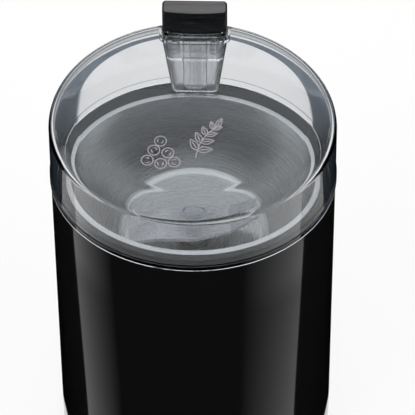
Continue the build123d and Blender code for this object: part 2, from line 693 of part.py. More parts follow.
window_x = coil_near_x + COIL_THICKNESS / 2
window_y = (COIL_INSIDE_WIDTH + COIL_BAND) / 2
with BuildPart() as stator_stack:
    with BuildSketch(Plane.XY.offset(stack_z)):
        RectangleRounded(STATOR_WIDTH, STATOR_DEPTH, STATOR_CORNER)
        Circle(ARMATURE_RADIUS + AIR_GAP, mode=Mode.SUBTRACT)
        with Locations(*four_corners((window_x, window_y))):
            Rectangle(COIL_THICKNESS + 2 * SEAT_GAP, COIL_BAND + 2 * SEAT_GAP, mode=Mode.SUBTRACT)
        with Locations(*bolt_points):
            Circle(BOLT_RADIUS, mode=Mode.SUBTRACT)
    extrude(amount=STACK_HEIGHT)
write(stator_stack, "stator_stack")

coil_middle_z = stack_z + STACK_HEIGHT / 2
for side, coil_name in ((1, "field_coil_right"), (-1, "field_coil_left")):
    coil_plane = Plane(origin=(side * coil_near_x, 0, coil_middle_z), z_dir=(side, 0, 0), x_dir=(0, side, 0))
    with BuildPart() as coil:
        with BuildSketch(coil_plane):
            RectangleRounded(
                COIL_INSIDE_WIDTH + 2 * COIL_BAND,
                STACK_HEIGHT + 2 * SEAT_GAP + 2 * COIL_BAND,
                COIL_CORNER + COIL_BAND,
            )
            RectangleRounded(
                COIL_INSIDE_WIDTH, STACK_HEIGHT + 2 * SEAT_GAP, SEAT_GAP, mode=Mode.SUBTRACT
            )
        extrude(amount=COIL_THICKNESS)
    write(coil, coil_name)

with BuildPart() as motor_bolts:
    with BuildSketch(Plane.XY.offset(upper_bracket_top_z)):
        with Locations(*bolt_points):
            Circle(BOLT_HEAD_RADIUS)
    extrude(amount=BOLT_HEAD_HEIGHT)
    with BuildSketch(Plane.XY.offset(upper_bracket_top_z)):
        with Locations(*bolt_points):
            Circle(BOLT_RADIUS)
    extrude(amount=lower_bracket_z - upper_bracket_top_z)
write(motor_bolts, "motor_bolts")

with BuildPart() as motor_nuts:
    with BuildSketch(Plane.XY.offset(lower_bracket_z)):
        with Locations(*bolt_points):
            RegularPolygon(NUT_RADIUS, 6)
            Circle(BOLT_RADIUS, mode=Mode.SUBTRACT)
    extrude(amount=NUT_HEIGHT)
write(motor_nuts, "motor_nuts")

with BuildPart() as motor_dampers:
    with BuildSketch(Plane.XY.offset(damper_z)):
        with Locations(*damper_points):
            Circle(DAMPER_RADIUS)
    extrude(amount=DAMPER_HEIGHT)
write(motor_dampers, "motor_dampers")


def spring(mean_radius, wire_radius, length, turns):
    """Compression spring of round wire, standing on the origin along Z."""
    pitch = (length - 2 * wire_radius) / turns
    with BuildPart() as coil_spring:
        with BuildLine():
            path = Helix(pitch, length - 2 * wire_radius, mean_radius, center=(0, 0, wire_radius))
        with BuildSketch(Plane(origin=path @ 0, z_dir=path % 0)):
            RegularPolygon(wire_radius, 6)
        sweep(is_frenet=True)
    return coil_spring.part


for side, side_name in ((1, "right"), (-1, "left")):
    radial_plane = Plane(origin=(0, 0, brush_z), z_dir=(side, 0, 0), x_dir=(0, side, 0))
    holder_plane = radial_plane.offset(brush_holder_x)
    with BuildPart() as brush_holder:
        with BuildSketch(holder_plane):
            Rectangle(2 * holder_half, 2 * holder_half)
            Rectangle(BRUSH_SIDE + 2 * SEAT_GAP, BRUSH_SIDE + 2 * SEAT_GAP, mode=Mode.SUBTRACT)
        extrude(amount=BRUSH_HOLDER_LENGTH)
        with BuildSketch(holder_plane.offset(BRUSH_HOLDER_LENGTH)):
            Rectangle(2 * holder_half, 2 * holder_half)
        extrude(amount=BRUSH_HOLDER_WALL)
    write(brush_holder, f"brush_holder_{side_name}")
    with BuildPart() as carbon_brush:
        with BuildSketch(radial_plane):
            Rectangle(BRUSH_SIDE, BRUSH_SIDE)
        extrude(amount=COMMUTATOR_RADIUS + BRUSH_LENGTH)
        with Locations((0, 0, brush_z)):
            Cylinder(COMMUTATOR_RADIUS + RUNNING_GAP, 2 * BRUSH_SIDE, mode=Mode.SUBTRACT)
    write(carbon_brush, f"carbon_brush_{side_name}")
    brush_back_x = COMMUTATOR_RADIUS + BRUSH_LENGTH
    brush_spring_length = brush_holder_x + BRUSH_HOLDER_LENGTH - brush_back_x
    brush_coil = spring(
        BRUSH_SPRING_RADIUS, BRUSH_SPRING_WIRE / 2, brush_spring_length, BRUSH_SPRING_TURNS
    )
    with BuildPart() as brush_spring:
        add(radial_plane.offset(brush_back_x).location * brush_coil)
    write(brush_spring, f"brush_spring_{side_name}")

# ---------------------------------------------------------------------------------
# Rotor: shaft, armature, commutator, fan
# ---------------------------------------------------------------------------------
with BuildPart() as rotor_shaft:
    with BuildSketch(Plane.XY.offset(shaft_bottom_z)):
        Circle(SHAFT_RADIUS)
    extrude(amount=blade_nut_z + BLADE_NUT_HEIGHT - shaft_bottom_z)
    chamfer(rotor_shaft.edges().filter_by(GeomType.CIRCLE), SHAFT_TIP_CHAMFER)
write(rotor_shaft, "rotor_shaft")

with BuildPart() as armature_stack:
    with BuildSketch(Plane.XY.offset(stack_z)):
        Circle(ARMATURE_RADIUS)
        Circle(SHAFT_RADIUS, mode=Mode.SUBTRACT)
        with PolarLocations(ARMATURE_RADIUS - ARMATURE_SLOT_CAP, ARMATURE_SLOTS):
            Rectangle(
                ARMATURE_SLOT_DEPTH,
                ARMATURE_SLOT_WIDTH,
                align=(Align.MAX, Align.CENTER),
                mode=Mode.SUBTRACT,
            )
            Rectangle(2 * ARMATURE_SLOT_CAP, ARMATURE_SLOT_MOUTH, mode=Mode.SUBTRACT)
    extrude(amount=STACK_HEIGHT)
write(armature_stack, "armature_stack")

with BuildPart() as armature_windings:
    for winding_plane in (
        Plane(origin=(0, 0, stack_top_z), z_dir=(0, 0, 1)),
        Plane(origin=(0, 0, stack_z), z_dir=(0, 0, -1)),
    ):
        with BuildSketch(winding_plane):
            Circle(winding_radius)
            Circle(SHAFT_RADIUS, mode=Mode.SUBTRACT)
        extrude(amount=WINDING_HEIGHT)
    winding_rims = armature_windings.edges().filter_by(GeomType.CIRCLE).group_by(SortBy.RADIUS)[-1]
    winding_ends = winding_rims.sort_by(Axis.Z)
    chamfer([winding_ends[0], winding_ends[-1]], WINDING_BEVEL)
write(armature_windings, "armature_windings")

with BuildPart() as commutator:
    with BuildSketch(Plane.XY.offset(commutator_z)):
        Circle(COMMUTATOR_RADIUS)
        Circle(SHAFT_RADIUS, mode=Mode.SUBTRACT)
        with PolarLocations(COMMUTATOR_RADIUS, COMMUTATOR_BARS):
            Rectangle(COMMUTATOR_RADIUS / 2, BAR_GAP, mode=Mode.SUBTRACT)
    extrude(amount=COMMUTATOR_HEIGHT)
write(commutator, "commutator")

with BuildPart() as cooling_fan:
    with BuildSketch(Plane.XY.offset(fan_z)):
        Circle(FAN_RADIUS)
        Circle(SHAFT_RADIUS, mode=Mode.SUBTRACT)
    extrude(amount=FAN_DISC)
    with BuildSketch(Plane.XY.offset(fan_z)):
        Circle(FAN_HUB_RADIUS)
        Circle(SHAFT_RADIUS, mode=Mode.SUBTRACT)
        with PolarLocations(FAN_HUB_RADIUS - FAN_BLADE_THICKNESS, FAN_BLADES):
            Rectangle(
                FAN_RADIUS - FAN_HUB_RADIUS,
                FAN_BLADE_THICKNESS,
                align=(Align.MIN, Align.CENTER),
            )
    extrude(amount=FAN_HEIGHT)
write(cooling_fan, "cooling_fan")

# ---------------------------------------------------------------------------------
# Blade, its driver and the cap nut
# ---------------------------------------------------------------------------------
with BuildPart() as blade_hub:
    with BuildSketch(Plane.XY.offset(blade_hub_z)):
        Circle(BLADE_HUB_RADIUS)
        Circle(SHAFT_RADIUS, mode=Mode.SUBTRACT)
    extrude(amount=BLADE_HUB_HEIGHT)
write(blade_hub, "blade_hub")

with BuildPart() as blade:
    # Seen from the front: one wing bends up, the other down.
    with BuildSketch(Plane.XZ.offset(-BLADE_ROOT_WIDTH / 2)):
        with BuildLine():
            Polyline(
                (-blade_reach, blade_z - BLADE_DROP),
                (-BLADE_BEND_X, blade_z),
                (BLADE_BEND_X, blade_z),
                (blade_reach, blade_z + BLADE_RISE),
                (blade_reach, blade_z + BLADE_RISE + BLADE_THICKNESS),
                (BLADE_BEND_X, blade_z + BLADE_THICKNESS),
                (-BLADE_BEND_X, blade_z + BLADE_THICKNESS),
                (-blade_reach, blade_z - BLADE_DROP + BLADE_THICKNESS),
                close=True,
            )
        make_face()
    extrude(amount=BLADE_ROOT_WIDTH)
    # Seen from above: each wing sweeps back from the middle to a narrow tip.
    with BuildSketch(Plane.XY.offset(blade_z - BLADE_DROP)):
        with BuildLine():
            root = BLADE_ROOT_WIDTH / 2
            tip = root - BLADE_TIP_WIDTH
            front_right = ThreePointArc((0, -root), (blade_reach / 2, -root / 2), (blade_reach, tip))
            tip_right = Line(front_right @ 1, (blade_reach, root))
            back = Line(tip_right @ 1, (0, root))
            back_left = ThreePointArc(back @ 1, (-blade_reach / 2, root / 2), (-blade_reach, -tip))
            tip_left = Line(back_left @ 1, (-blade_reach, -root))
            Line(tip_left @ 1, front_right @ 0)
        make_face()
        Circle(SHAFT_RADIUS, mode=Mode.SUBTRACT)
    extrude(amount=BLADE_DROP + BLADE_RISE + BLADE_THICKNESS, mode=Mode.INTERSECT)
write(blade, "blade")

with BuildPart() as blade_nut:
    with BuildSketch(Plane.XY.offset(blade_nut_z)):
        RegularPolygon(BLADE_NUT_RADIUS, 6)
        Circle(SHAFT_RADIUS, mode=Mode.SUBTRACT)
    extrude(amount=BLADE_NUT_HEIGHT)
    with BuildSketch(Plane.XY.offset(blade_nut_z + BLADE_NUT_HEIGHT)):
        Circle(BLADE_NUT_RADIUS * cos(pi / 6))
    extrude(amount=BLADE_CAP_HEIGHT)
    chamfer(blade_nut.edges().group_by(Axis.Z)[-1], BLADE_CAP_BEVEL)
write(blade_nut, "blade_nut")

# ---------------------------------------------------------------------------------
# Electrical pieces on the base plate and the motor
# ---------------------------------------------------------------------------------
inlet_middle_z = base_top_z + INLET_HEIGHT / 2
inlet_face_y = half_depth - 2 * SEAT_GAP
inlet_throat_y = housing_axes(FOOT_HEIGHT, HOUSING_WALL)[1]
inlet_flange_y = housing_axes(inlet_middle_z, HOUSING_WALL)[1] - INLET_FLANGE_GAP
inlet_plane = Plane(origin=(0, inlet_face_y, inlet_middle_z), z_dir=(0, 1, 0), x_dir=(-1, 0, 0))
with BuildPart() as cord_inlet:
    # The outer block fills the notch of the wall, down beside the base plate.
    with BuildSketch(inlet_plane):
        with Locations((0, -BASE_THICKNESS / 2)):
            RectangleRounded(INLET_WIDTH, INLET_HEIGHT + BASE_THICKNESS, INLET_CORNER)
    extrude(amount=inlet_throat_y - inlet_face_y)
    chamfer(cord_inlet.edges().group_by(Axis.Y)[-1], INLET_BEVEL)
    with BuildSketch(inlet_plane.offset(inlet_throat_y - inlet_face_y)):
        RectangleRounded(INLET_WIDTH, INLET_HEIGHT, INLET_CORNER)
    extrude(amount=inlet_face_y - inlet_throat_y - INLET_LENGTH)
    with BuildSketch(inlet_plane.offset(inlet_flange_y - inlet_face_y)):
        RectangleRounded(INLET_WIDTH + 2 * INLET_FLANGE_STEP, INLET_HEIGHT, INLET_CORNER)
    extrude(amount=-INLET_FLANGE)
    with BuildSketch(inlet_plane):
        Circle(INLET_BORE_RADIUS)
    extrude(amount=-INLET_LENGTH, mode=Mode.SUBTRACT)
write(cord_inlet, "cord_inlet")

with BuildPart() as terminal_block:
    with BuildSketch(Plane.XY.offset(base_top_z)):
        with Locations(terminal_place):
            Rectangle(TERMINAL_SIZE[0], TERMINAL_SIZE[1])
    extrude(amount=TERMINAL_SIZE[2])
    with BuildSketch(Plane.XY.offset(base_top_z + TERMINAL_SIZE[2] / 2)):
        with Locations(terminal_place):
            with GridLocations(TERMINAL_SIZE[0] / 2, 0, 2, 1):
                Circle(TERMINAL_SCREW_RADIUS)
    extrude(amount=TERMINAL_SIZE[2] / 2, mode=Mode.SUBTRACT)
write(terminal_block, "terminal_block")

with BuildPart() as suppression_capacitor:
    with BuildSketch(Plane.XY.offset(base_top_z)):
        with Locations(capacitor_place):
            RectangleRounded(CAPACITOR_SIZE[0], CAPACITOR_SIZE[1], CAPACITOR_EDGE_RADIUS)
    extrude(amount=CAPACITOR_SIZE[2])
    chamfer(suppression_capacitor.edges().group_by(Axis.Z)[-1], CAPACITOR_TOP_BEVEL)
write(suppression_capacitor, "suppression_capacitor")

with BuildPart() as thermal_cutout:
    with BuildSketch(Plane.XY.offset(coil_middle_z - CUTOUT_SIZE[2] / 2)):
        with Locations(((STATOR_WIDTH + CUTOUT_SIZE[0]) / 2, 0)):
            Rectangle(CUTOUT_SIZE[0], CUTOUT_SIZE[1])
    extrude(amount=CUTOUT_SIZE[2])
write(thermal_cutout, "thermal_cutout")

# ---------------------------------------------------------------------------------
# Plunger that passes through the deck, its guide, its spring and the switch
# ---------------------------------------------------------------------------------
plunger_top_z = channel_foot_z - TOUCH_GAP
sleeve_bottom_z = deck_seat_z - GUIDE_SLEEVE
chamber_bottom_z = sleeve_bottom_z - GUIDE_CHAMBER
guide_bottom_z = chamber_bottom_z - GUIDE_PLATE
shoulder_top_z = sleeve_bottom_z - TOUCH_GAP
shoulder_bottom_z = shoulder_top_z - PLUNGER_SHOULDER
stem_bottom_z = guide_bottom_z - LEVER_TIP_GAP
pivot_x = -LEVER_ARM
pivot_z = stem_bottom_z - TOUCH_GAP - BUTTON_TRAVEL - LEVER_THICKNESS / 2
lever_rest_angle = atan2(BUTTON_TRAVEL, LEVER_ARM)
switch_top_z = pivot_z - LEVER_HUB_RADIUS - SLIDE_GAP
switch_middle_y = plunger_y - SWITCH_SETBACK
switch_back_y = switch_middle_y + SWITCH_DEPTH / 2
switch_start_x = pivot_x - LEVER_HUB_RADIUS - SWITCH_EAR_HALF_LENGTH / 2
switch_end_x = switch_start_x + SWITCH_LENGTH

with BuildPart() as plunger_guide:
    with BuildSketch(Plane.XY.offset(guide_bottom_z)):
        with Locations((0, plunger_y)):
            Rectangle(guide_width, GUIDE_DEPTH)
    extrude(amount=deck_seat_z - guide_bottom_z)
    with BuildSketch(Plane.XY.offset(chamber_bottom_z)):
        with Locations((0, plunger_y)):
            Rectangle(chamber_width, 2 * GUIDE_DEPTH)
    extrude(amount=GUIDE_CHAMBER, mode=Mode.SUBTRACT)
    with BuildSketch(Plane.XY.offset(sleeve_bottom_z)):
        with Locations((0, plunger_y)):
            Rectangle(*plunger_slot)
    extrude(amount=GUIDE_SLEEVE, mode=Mode.SUBTRACT)
    with BuildSketch(Plane.XY.offset(guide_bottom_z)):
        with Locations((0, plunger_y)):
            Circle(STEM_RADIUS + SLIDE_GAP)
    extrude(amount=GUIDE_PLATE, mode=Mode.SUBTRACT)
    # Arm that holds the switch below the guide.
    with BuildSketch(Plane.XY.offset(switch_top_z - SWITCH_HEIGHT)):
        with Locations((switch_end_x, plunger_y - GUIDE_DEPTH / 2)):
            Rectangle(SWITCH_ARM, SWITCH_ARM, align=(Align.MIN, Align.MIN))
    extrude(amount=guide_bottom_z - switch_top_z + SWITCH_HEIGHT)
write(plunger_guide, "plunger_guide")

with BuildPart() as switch_plunger:
    with BuildSketch(Plane.XY.offset(shoulder_top_z)):
        with Locations((0, plunger_y)):
            Rectangle(PLUNGER_WIDTH, PLUNGER_THICKNESS)
    extrude(amount=plunger_top_z - shoulder_top_z)
    with BuildSketch(Plane.XY.offset(shoulder_bottom_z)):
        with Locations((0, plunger_y)):
            Rectangle(shoulder_width, PLUNGER_SHOULDER_DEPTH)
    extrude(amount=PLUNGER_SHOULDER)
    with BuildSketch(Plane.XY.offset(shoulder_bottom_z)):
        with Locations((0, plunger_y)):
            Circle(STEM_RADIUS)
    extrude(amount=stem_bottom_z - shoulder_bottom_z)
    chamfer(switch_plunger.edges().group_by(Axis.Z)[0], STEM_BEVEL)
write(switch_plunger, "switch_plunger")

with BuildPart() as plunger_spring:
    add(
        Pos(0, plunger_y, chamber_bottom_z)
        * spring(
            STEM_RADIUS + PLUNGER_SPRING_GAP + PLUNGER_SPRING_WIRE / 2,
            PLUNGER_SPRING_WIRE / 2,
            shoulder_bottom_z - chamber_bottom_z,
            PLUNGER_SPRING_TURNS,
        )
    )
write(plunger_spring, "plunger_spring")

with BuildPart() as switch_body:
    with BuildSketch(Plane.XY.offset(switch_top_z - SWITCH_HEIGHT)):
        with Locations((switch_start_x + SWITCH_LENGTH / 2, switch_middle_y)):
            Rectangle(SWITCH_LENGTH, SWITCH_DEPTH)
    extrude(amount=SWITCH_HEIGHT)
    # Two ears carry the pin of the lever.
    with BuildSketch(Plane.XY.offset(switch_top_z)):
        with Locations((pivot_x, switch_middle_y)):
            Rectangle(2 * SWITCH_EAR_HALF_LENGTH, SWITCH_DEPTH)
            Rectangle(2 * SWITCH_EAR_HALF_LENGTH, SWITCH_DEPTH - 2 * SWITCH_EAR, mode=Mode.SUBTRACT)
    extrude(amount=2 * LEVER_HUB_RADIUS + SLIDE_GAP)
    with BuildSketch(Plane.XZ.offset(-switch_back_y)):
        with Locations((pivot_x, pivot_z)):
            Circle(LEVER_PIN_RADIUS + RUNNING_GAP)
    extrude(amount=SWITCH_DEPTH, mode=Mode.SUBTRACT)
write(switch_body, "switch_body")

# The lever is drawn in the plane of its own slope: at rest it points up to the stem.
lever_plane = Plane(
    origin=(pivot_x, switch_middle_y, pivot_z),
    x_dir=(cos(lever_rest_angle), 0, sin(lever_rest_angle)),
    z_dir=(0, -1, 0),
)
lever_reach = LEVER_ARM + LEVER_PAD
with BuildPart() as switch_lever:
    with BuildSketch(lever_plane):
        Circle(LEVER_HUB_RADIUS)
        with Locations((lever_reach / 2, 0)):
            Rectangle(lever_reach, LEVER_THICKNESS)
    extrude(amount=LEVER_WIDTH / 2, both=True)
    with BuildSketch(lever_plane):
        with Locations((LEVER_ARM, 0)):
            Rectangle(2 * LEVER_PAD, LEVER_THICKNESS)
    extrude(amount=-(plunger_y - switch_middle_y + STEM_RADIUS))
    with BuildSketch(lever_plane):
        Circle(LEVER_PIN_RADIUS)
    extrude(amount=SWITCH_DEPTH / 2, both=True)
write(switch_lever, "switch_lever")

# ---------------------------------------------------------------------------------
# Lid: oval wall, rounded shoulder and tilted flat top, with a channel at the back
# ---------------------------------------------------------------------------------
pocket_z = button_step_z - BUTTON_TRAVEL - 2 * TOUCH_GAP
channel_front_y = plunger_y - CHANNEL_DEPTH / 2
channel_back_y = plunger_y + CHANNEL_DEPTH / 2


def lid_form(inset):
    """Solid of the lid, drawn in by an inset, from the parting plane to its top."""
    top = Plane(
        origin=(0, 0, lid_top_z - inset),
        z_dir=(0, -sin(radians(LID_TILT)), cos(radians(LID_TILT))),
    )
    with BuildPart() as form:
        with BuildSketch(Plane.XY.offset(parting_z)):
            Ellipse(half_width - LID_BEAD - inset, half_depth - LID_BEAD - inset)
        extrude(amount=lid_top_z)
        split(bisect_by=top, keep=Keep.BOTTOM)
        fillet(form.edges().group_by(Axis.Z)[-1], LID_SHOULDER_RADIUS - inset)
    return form.part


def button_form(grow, z_low, z_high):
    """The button: a slightly bowed front, and a back that follows the oval of the lid."""
    half = BUTTON_WIDTH / 2 + grow
    front = plunger_y - BUTTON_LEAD - grow
    with BuildPart() as form:
        with BuildSketch(Plane.XY.offset(z_low)) as section:
            with BuildLine():
                bow = ThreePointArc((-half, front), (0, front - BUTTON_FRONT_BULGE), (half, front))
                Polyline(bow @ 1, (half, half_depth), (-half, half_depth), bow @ 0)
            make_face()
            Ellipse(
                half_width - LID_BEAD - BUTTON_BACK_INSET + grow,
                half_depth - LID_BEAD - BUTTON_BACK_INSET + grow,
                mode=Mode.INTERSECT,
            )
            fillet(section.vertices(), BUTTON_CORNER_RADIUS + grow)
        extrude(amount=z_high - z_low)
    return form.part


def channel_form(wall, z_low, z_high, back_y):
    """The channel narrows towards its foot; with a wall it is the solid around it."""
    taper = (channel_top_width - CHANNEL_FOOT_WIDTH) / (pocket_z - channel_foot_z)
    front_y = channel_front_y - wall
    with BuildPart() as form:
        for z in (z_low, z_high):
            with BuildSketch(Plane.XY.offset(z)):
                with Locations((0, (front_y + back_y) / 2)):
                    width = CHANNEL_FOOT_WIDTH + taper * (z - channel_foot_z)
                    Rectangle(width + 2 * wall, back_y - front_y)
        loft()
    return form.part


lid_outside = lid_form(0.0)
lid_inside = lid_form(LID_WALL)
column = channel_form(CHANNEL_WALL, channel_foot_z, pocket_z, half_depth)
pocket_block = button_form(SLIDE_GAP + CHANNEL_WALL, pocket_z - CHANNEL_WALL, button_top_z)
pocket = button_form(SLIDE_GAP, pocket_z, button_top_z)
spring_chamber = channel_form(0.0, shelf_top_z, pocket_z, channel_back_y)
rod_chamber = channel_form(0.0, channel_foot_z, shelf_z, channel_back_y)

with BuildPart() as lid_hollow:
    add(lid_inside)
    add(pocket_block, mode=Mode.SUBTRACT)
    add(column, mode=Mode.SUBTRACT)

with BuildPart() as lid_shell:
    add(lid_outside)
    with BuildSketch(Plane.XY.offset(parting_z)):
        Ellipse(half_width, half_depth)
    extrude(amount=LID_BEAD_HEIGHT)
    add(lid_hollow.part, mode=Mode.SUBTRACT)
    add(pocket, mode=Mode.SUBTRACT)
    add(spring_chamber, mode=Mode.SUBTRACT)
    add(rod_chamber, mode=Mode.SUBTRACT)
    with BuildSketch(Plane.XY.offset(shelf_z)):
        with Locations((0, plunger_y)):
            Rectangle(ROD_WIDTH + 2 * SLIDE_GAP, ROD_THICKNESS + 2 * SLIDE_GAP)
    extrude(amount=SHELF_THICKNESS, mode=Mode.SUBTRACT)
write(lid_shell, "lid_shell")

with BuildPart() as push_button:
    add(button_form(0.0, button_step_z, button_top_z))
    fillet(push_button.edges().group_by(Axis.Z)[-1], BUTTON_EDGE_RADIUS)
    with BuildSketch(Plane.XY.offset(neck_bottom_z)):
        with Locations((0, plunger_y)):
            Rectangle(neck_width, neck_depth)
    extrude(amount=button_step_z - neck_bottom_z)
write(push_button, "push_button")

with BuildPart() as push_rod:
    with BuildSketch(Plane.XY.offset(channel_foot_z)):
        with Locations((0, plunger_y)):
            Rectangle(ROD_WIDTH, ROD_THICKNESS)
    extrude(amount=neck_bottom_z - channel_foot_z)
    fillet(push_rod.edges().filter_by(Axis.Y).group_by(Axis.Z)[0], ROD_FOOT_RADIUS)
write(push_rod, "push_rod")

button_spring_outside = BUTTON_SPRING_RADIUS + BUTTON_SPRING_WIRE / 2
button_spring_x = neck_width / 2 - BUTTON_SPRING_INSET - button_spring_outside
button_coil = spring(
    BUTTON_SPRING_RADIUS, BUTTON_SPRING_WIRE / 2, BUTTON_SPRING_LENGTH, BUTTON_SPRING_TURNS
)
with BuildPart() as button_spring:
    for side in (1, -1):
        add(Pos(side * button_spring_x, plunger_y, shelf_top_z) * button_coil)
write(button_spring, "button_spring")
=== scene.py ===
"""Looks of an electric spice grinder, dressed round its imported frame, in metres."""

import json
import logging
import math
from dataclasses import dataclass
from enum import Enum
from typing import Callable, Iterable, Sequence

import bmesh
import bpy
from mathutils import Matrix, Vector


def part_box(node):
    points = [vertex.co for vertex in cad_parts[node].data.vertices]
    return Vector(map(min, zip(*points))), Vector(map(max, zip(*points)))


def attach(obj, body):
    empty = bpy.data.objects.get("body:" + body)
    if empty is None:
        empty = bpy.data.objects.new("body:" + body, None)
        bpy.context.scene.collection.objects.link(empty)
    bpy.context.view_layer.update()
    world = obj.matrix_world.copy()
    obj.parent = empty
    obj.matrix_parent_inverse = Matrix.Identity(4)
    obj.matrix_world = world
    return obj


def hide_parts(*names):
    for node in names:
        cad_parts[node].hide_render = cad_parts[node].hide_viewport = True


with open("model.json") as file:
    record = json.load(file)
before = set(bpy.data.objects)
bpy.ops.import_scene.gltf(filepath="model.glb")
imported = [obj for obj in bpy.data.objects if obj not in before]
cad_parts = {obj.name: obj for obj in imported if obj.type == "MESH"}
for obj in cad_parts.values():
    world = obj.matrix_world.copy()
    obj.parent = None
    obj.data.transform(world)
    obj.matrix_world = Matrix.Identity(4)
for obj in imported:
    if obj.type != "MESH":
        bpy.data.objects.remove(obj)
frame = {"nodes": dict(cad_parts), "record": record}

LOG = logging.getLogger("spice_grinder")
MM = 0.001
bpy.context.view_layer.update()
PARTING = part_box("housing")[1].z
Point = tuple[float, float, float]
Pair = tuple[float, float]
Outline = list[Pair]
Rings = Sequence[Sequence[Point]]
Height = float | Callable[[float, float], float]
Constants = tuple[tuple[str, float], ...]
METAL = (("Metallic", 1.0),)
NOISE_REACH = (0.3, 0.7)
QUARTER = math.pi / 2


class Slot(str, Enum):
    """Material slots of the record."""

    GLOSS_BLACK = "gloss_black"
    CLEAR = "clear_plastic"
    DECK = "deck_black"
    MOTOR_PLASTIC = "motor_plastic"
    BOWL = "bowl_steel"
    STEEL = "steel"
    RUBBER = "black_rubber"
    COPPER = "copper"
    BRASS = "brass"
    CARBON = "carbon"


class Body(str, Enum):
    """Bodies of the frame that pieces of this script ride."""

    BASE = "base"
    LID = "lid"
    BUTTON = "button"


class Combine(str, Enum):
    """Ways of combining two pieces."""

    CUT = "DIFFERENCE"
    JOIN = "UNION"


# ---------------------------------------------------------------------------------
# Shader maths
# ---------------------------------------------------------------------------------
class Graph:
    """A material's node tree, with one method for any node."""

    def __init__(self, name: str) -> None:
        """Start an empty tree.

        Args:
            name: name of the new material.
        """
        self.material = bpy.data.materials.new(name)
        self.material.use_nodes = True
        self.tree = self.material.node_tree
        self.tree.nodes.clear()

    @classmethod
    def on_tree(cls, tree: bpy.types.NodeTree) -> "Graph":
        """Work on a tree that is already there, such as the world's.

        Args:
            tree: the shader tree.

        Returns:
            The graph.
        """
        graph = cls.__new__(cls)
        graph.tree = tree
        return graph

    def node(self, kind: str, settings: dict | None = None, **inputs: object) -> bpy.types.Node:
        """Add a node.

        Args:
            kind: Blender's type name of the node.
            settings: properties of the node, set before its sockets.
            inputs: socket values or links; a leading i and a number name a socket by its
                place, and underscores stand for spaces.

        Returns:
            The new node.
        """
        made = self.tree.nodes.new(kind)
        for key, value in (settings or {}).items():
            setattr(made, key, value)
        for key, value in inputs.items():
            socket = self._input(made, key)
            if isinstance(value, Value):
                self.tree.links.new(value.socket, socket)
            else:
                socket.default_value = value
        return made

    @staticmethod
    def _input(made: bpy.types.Node, key: str) -> bpy.types.NodeSocket:
        """Find an input socket by its name or its place.

        Args:
            made: the node.
            key: name with underscores, or i and a number.

        Returns:
            The socket.
        """
        if key[0] == "i" and key[1:].isdigit():
            return made.inputs[int(key[1:])]
        return made.inputs[key.replace("_", " ")]

    def out(self, made: bpy.types.Node, name: str | int = 0) -> "Value":
        """Wrap an output socket of a node.

        Args:
            made: the node.
            name: name or place of the output.

        Returns:
            The wrapped socket.
        """
        return Value(self, made.outputs[name])

    def position(self) -> "Value":
        """Position on the object, in its own metres."""
        return self.out(self.node("ShaderNodeTexCoord"), "Object")

    def split(self, vector: "Value") -> tuple["Value", "Value", "Value"]:
        """The three parts of a vector.

        Args:
            vector: the vector to take apart.

        Returns:
            Its x, y and z as values.
        """
        parts = self.node("ShaderNodeSeparateXYZ", Vector=vector)
        return self.out(parts, "X"), self.out(parts, "Y"), self.out(parts, "Z")

    def noise(self, vector: "Value", scale: float, detail: float = 4.0, rough: float = 0.5) -> "Value":
        """Smooth noise between 0 and 1.

        Args:
            vector: where it is read.
            scale: waves to a metre.
            detail: number of finer layers.
            rough: share of the finer layers.

        Returns:
            The noise's value.
        """
        made = self.node(
            "ShaderNodeTexNoise", Vector=vector, Scale=scale, Detail=detail, Roughness=rough
        )
        return self.out(made, "Fac")

    def stretch(self, vector: "Value", scale: Point) -> "Value":
        """A vector with each part scaled.

        Args:
            vector: the vector.
            scale: three factors.

        Returns:
            The scaled vector.
        """
        made = self.node("ShaderNodeVectorMath", {"operation": "MULTIPLY"}, i0=vector, i1=scale)
        return self.out(made, "Vector")

    def ramp(self, value: "Value", low: float, high: float, start: float, end: float) -> "Value":
        """Map a value's range onto another, clamped.

        Args:
            value: the value.
            low: value that gives start.
            high: value that gives end.
            start: result at low.
            end: result at high.

        Returns:
            The mapped value.
        """
        made = self.node("ShaderNodeMapRange", i0=value, i1=low, i2=high, i3=start, i4=end)
        return self.out(made, 0)

    def mix(self, factor: "Value", a: tuple, b: tuple) -> "Value":
        """Blend two colours.

        Args:
            factor: share of b.
            a: colour at 0.
            b: colour at 1.

        Returns:
            The blended colour.
        """
        made = self.node("ShaderNodeMix", {"data_type": "RGBA"}, i0=factor, i6=a, i7=b)
        return self.out(made, 2)

    def bump(self, height: "Value", strength: float, distance: float) -> "Value":
        """A normal from a height.

        Args:
            height: the height, 0 to 1.
            strength: share of the effect.
            distance: height of 1 in metres.

        Returns:
            The bumped normal.
        """
        made = self.node("ShaderNodeBump", Height=height, Strength=strength, Distance=distance)
        return self.out(made, 0)

    def finish(self, **sockets: object) -> bpy.types.Material:
        """Close the tree with a Principled shader.

        Args:
            sockets: values and links of the shader's sockets.

        Returns:
            The material.
        """
        return self.close(self.node("ShaderNodeBsdfPrincipled", **sockets))

    def close(self, shader: bpy.types.Node) -> bpy.types.Material:
        """Lead a shader to the output of the tree.

        Args:
            shader: the last node.

        Returns:
            The material.
        """
        self.node("ShaderNodeOutputMaterial", Surface=self.out(shader))
        return self.material


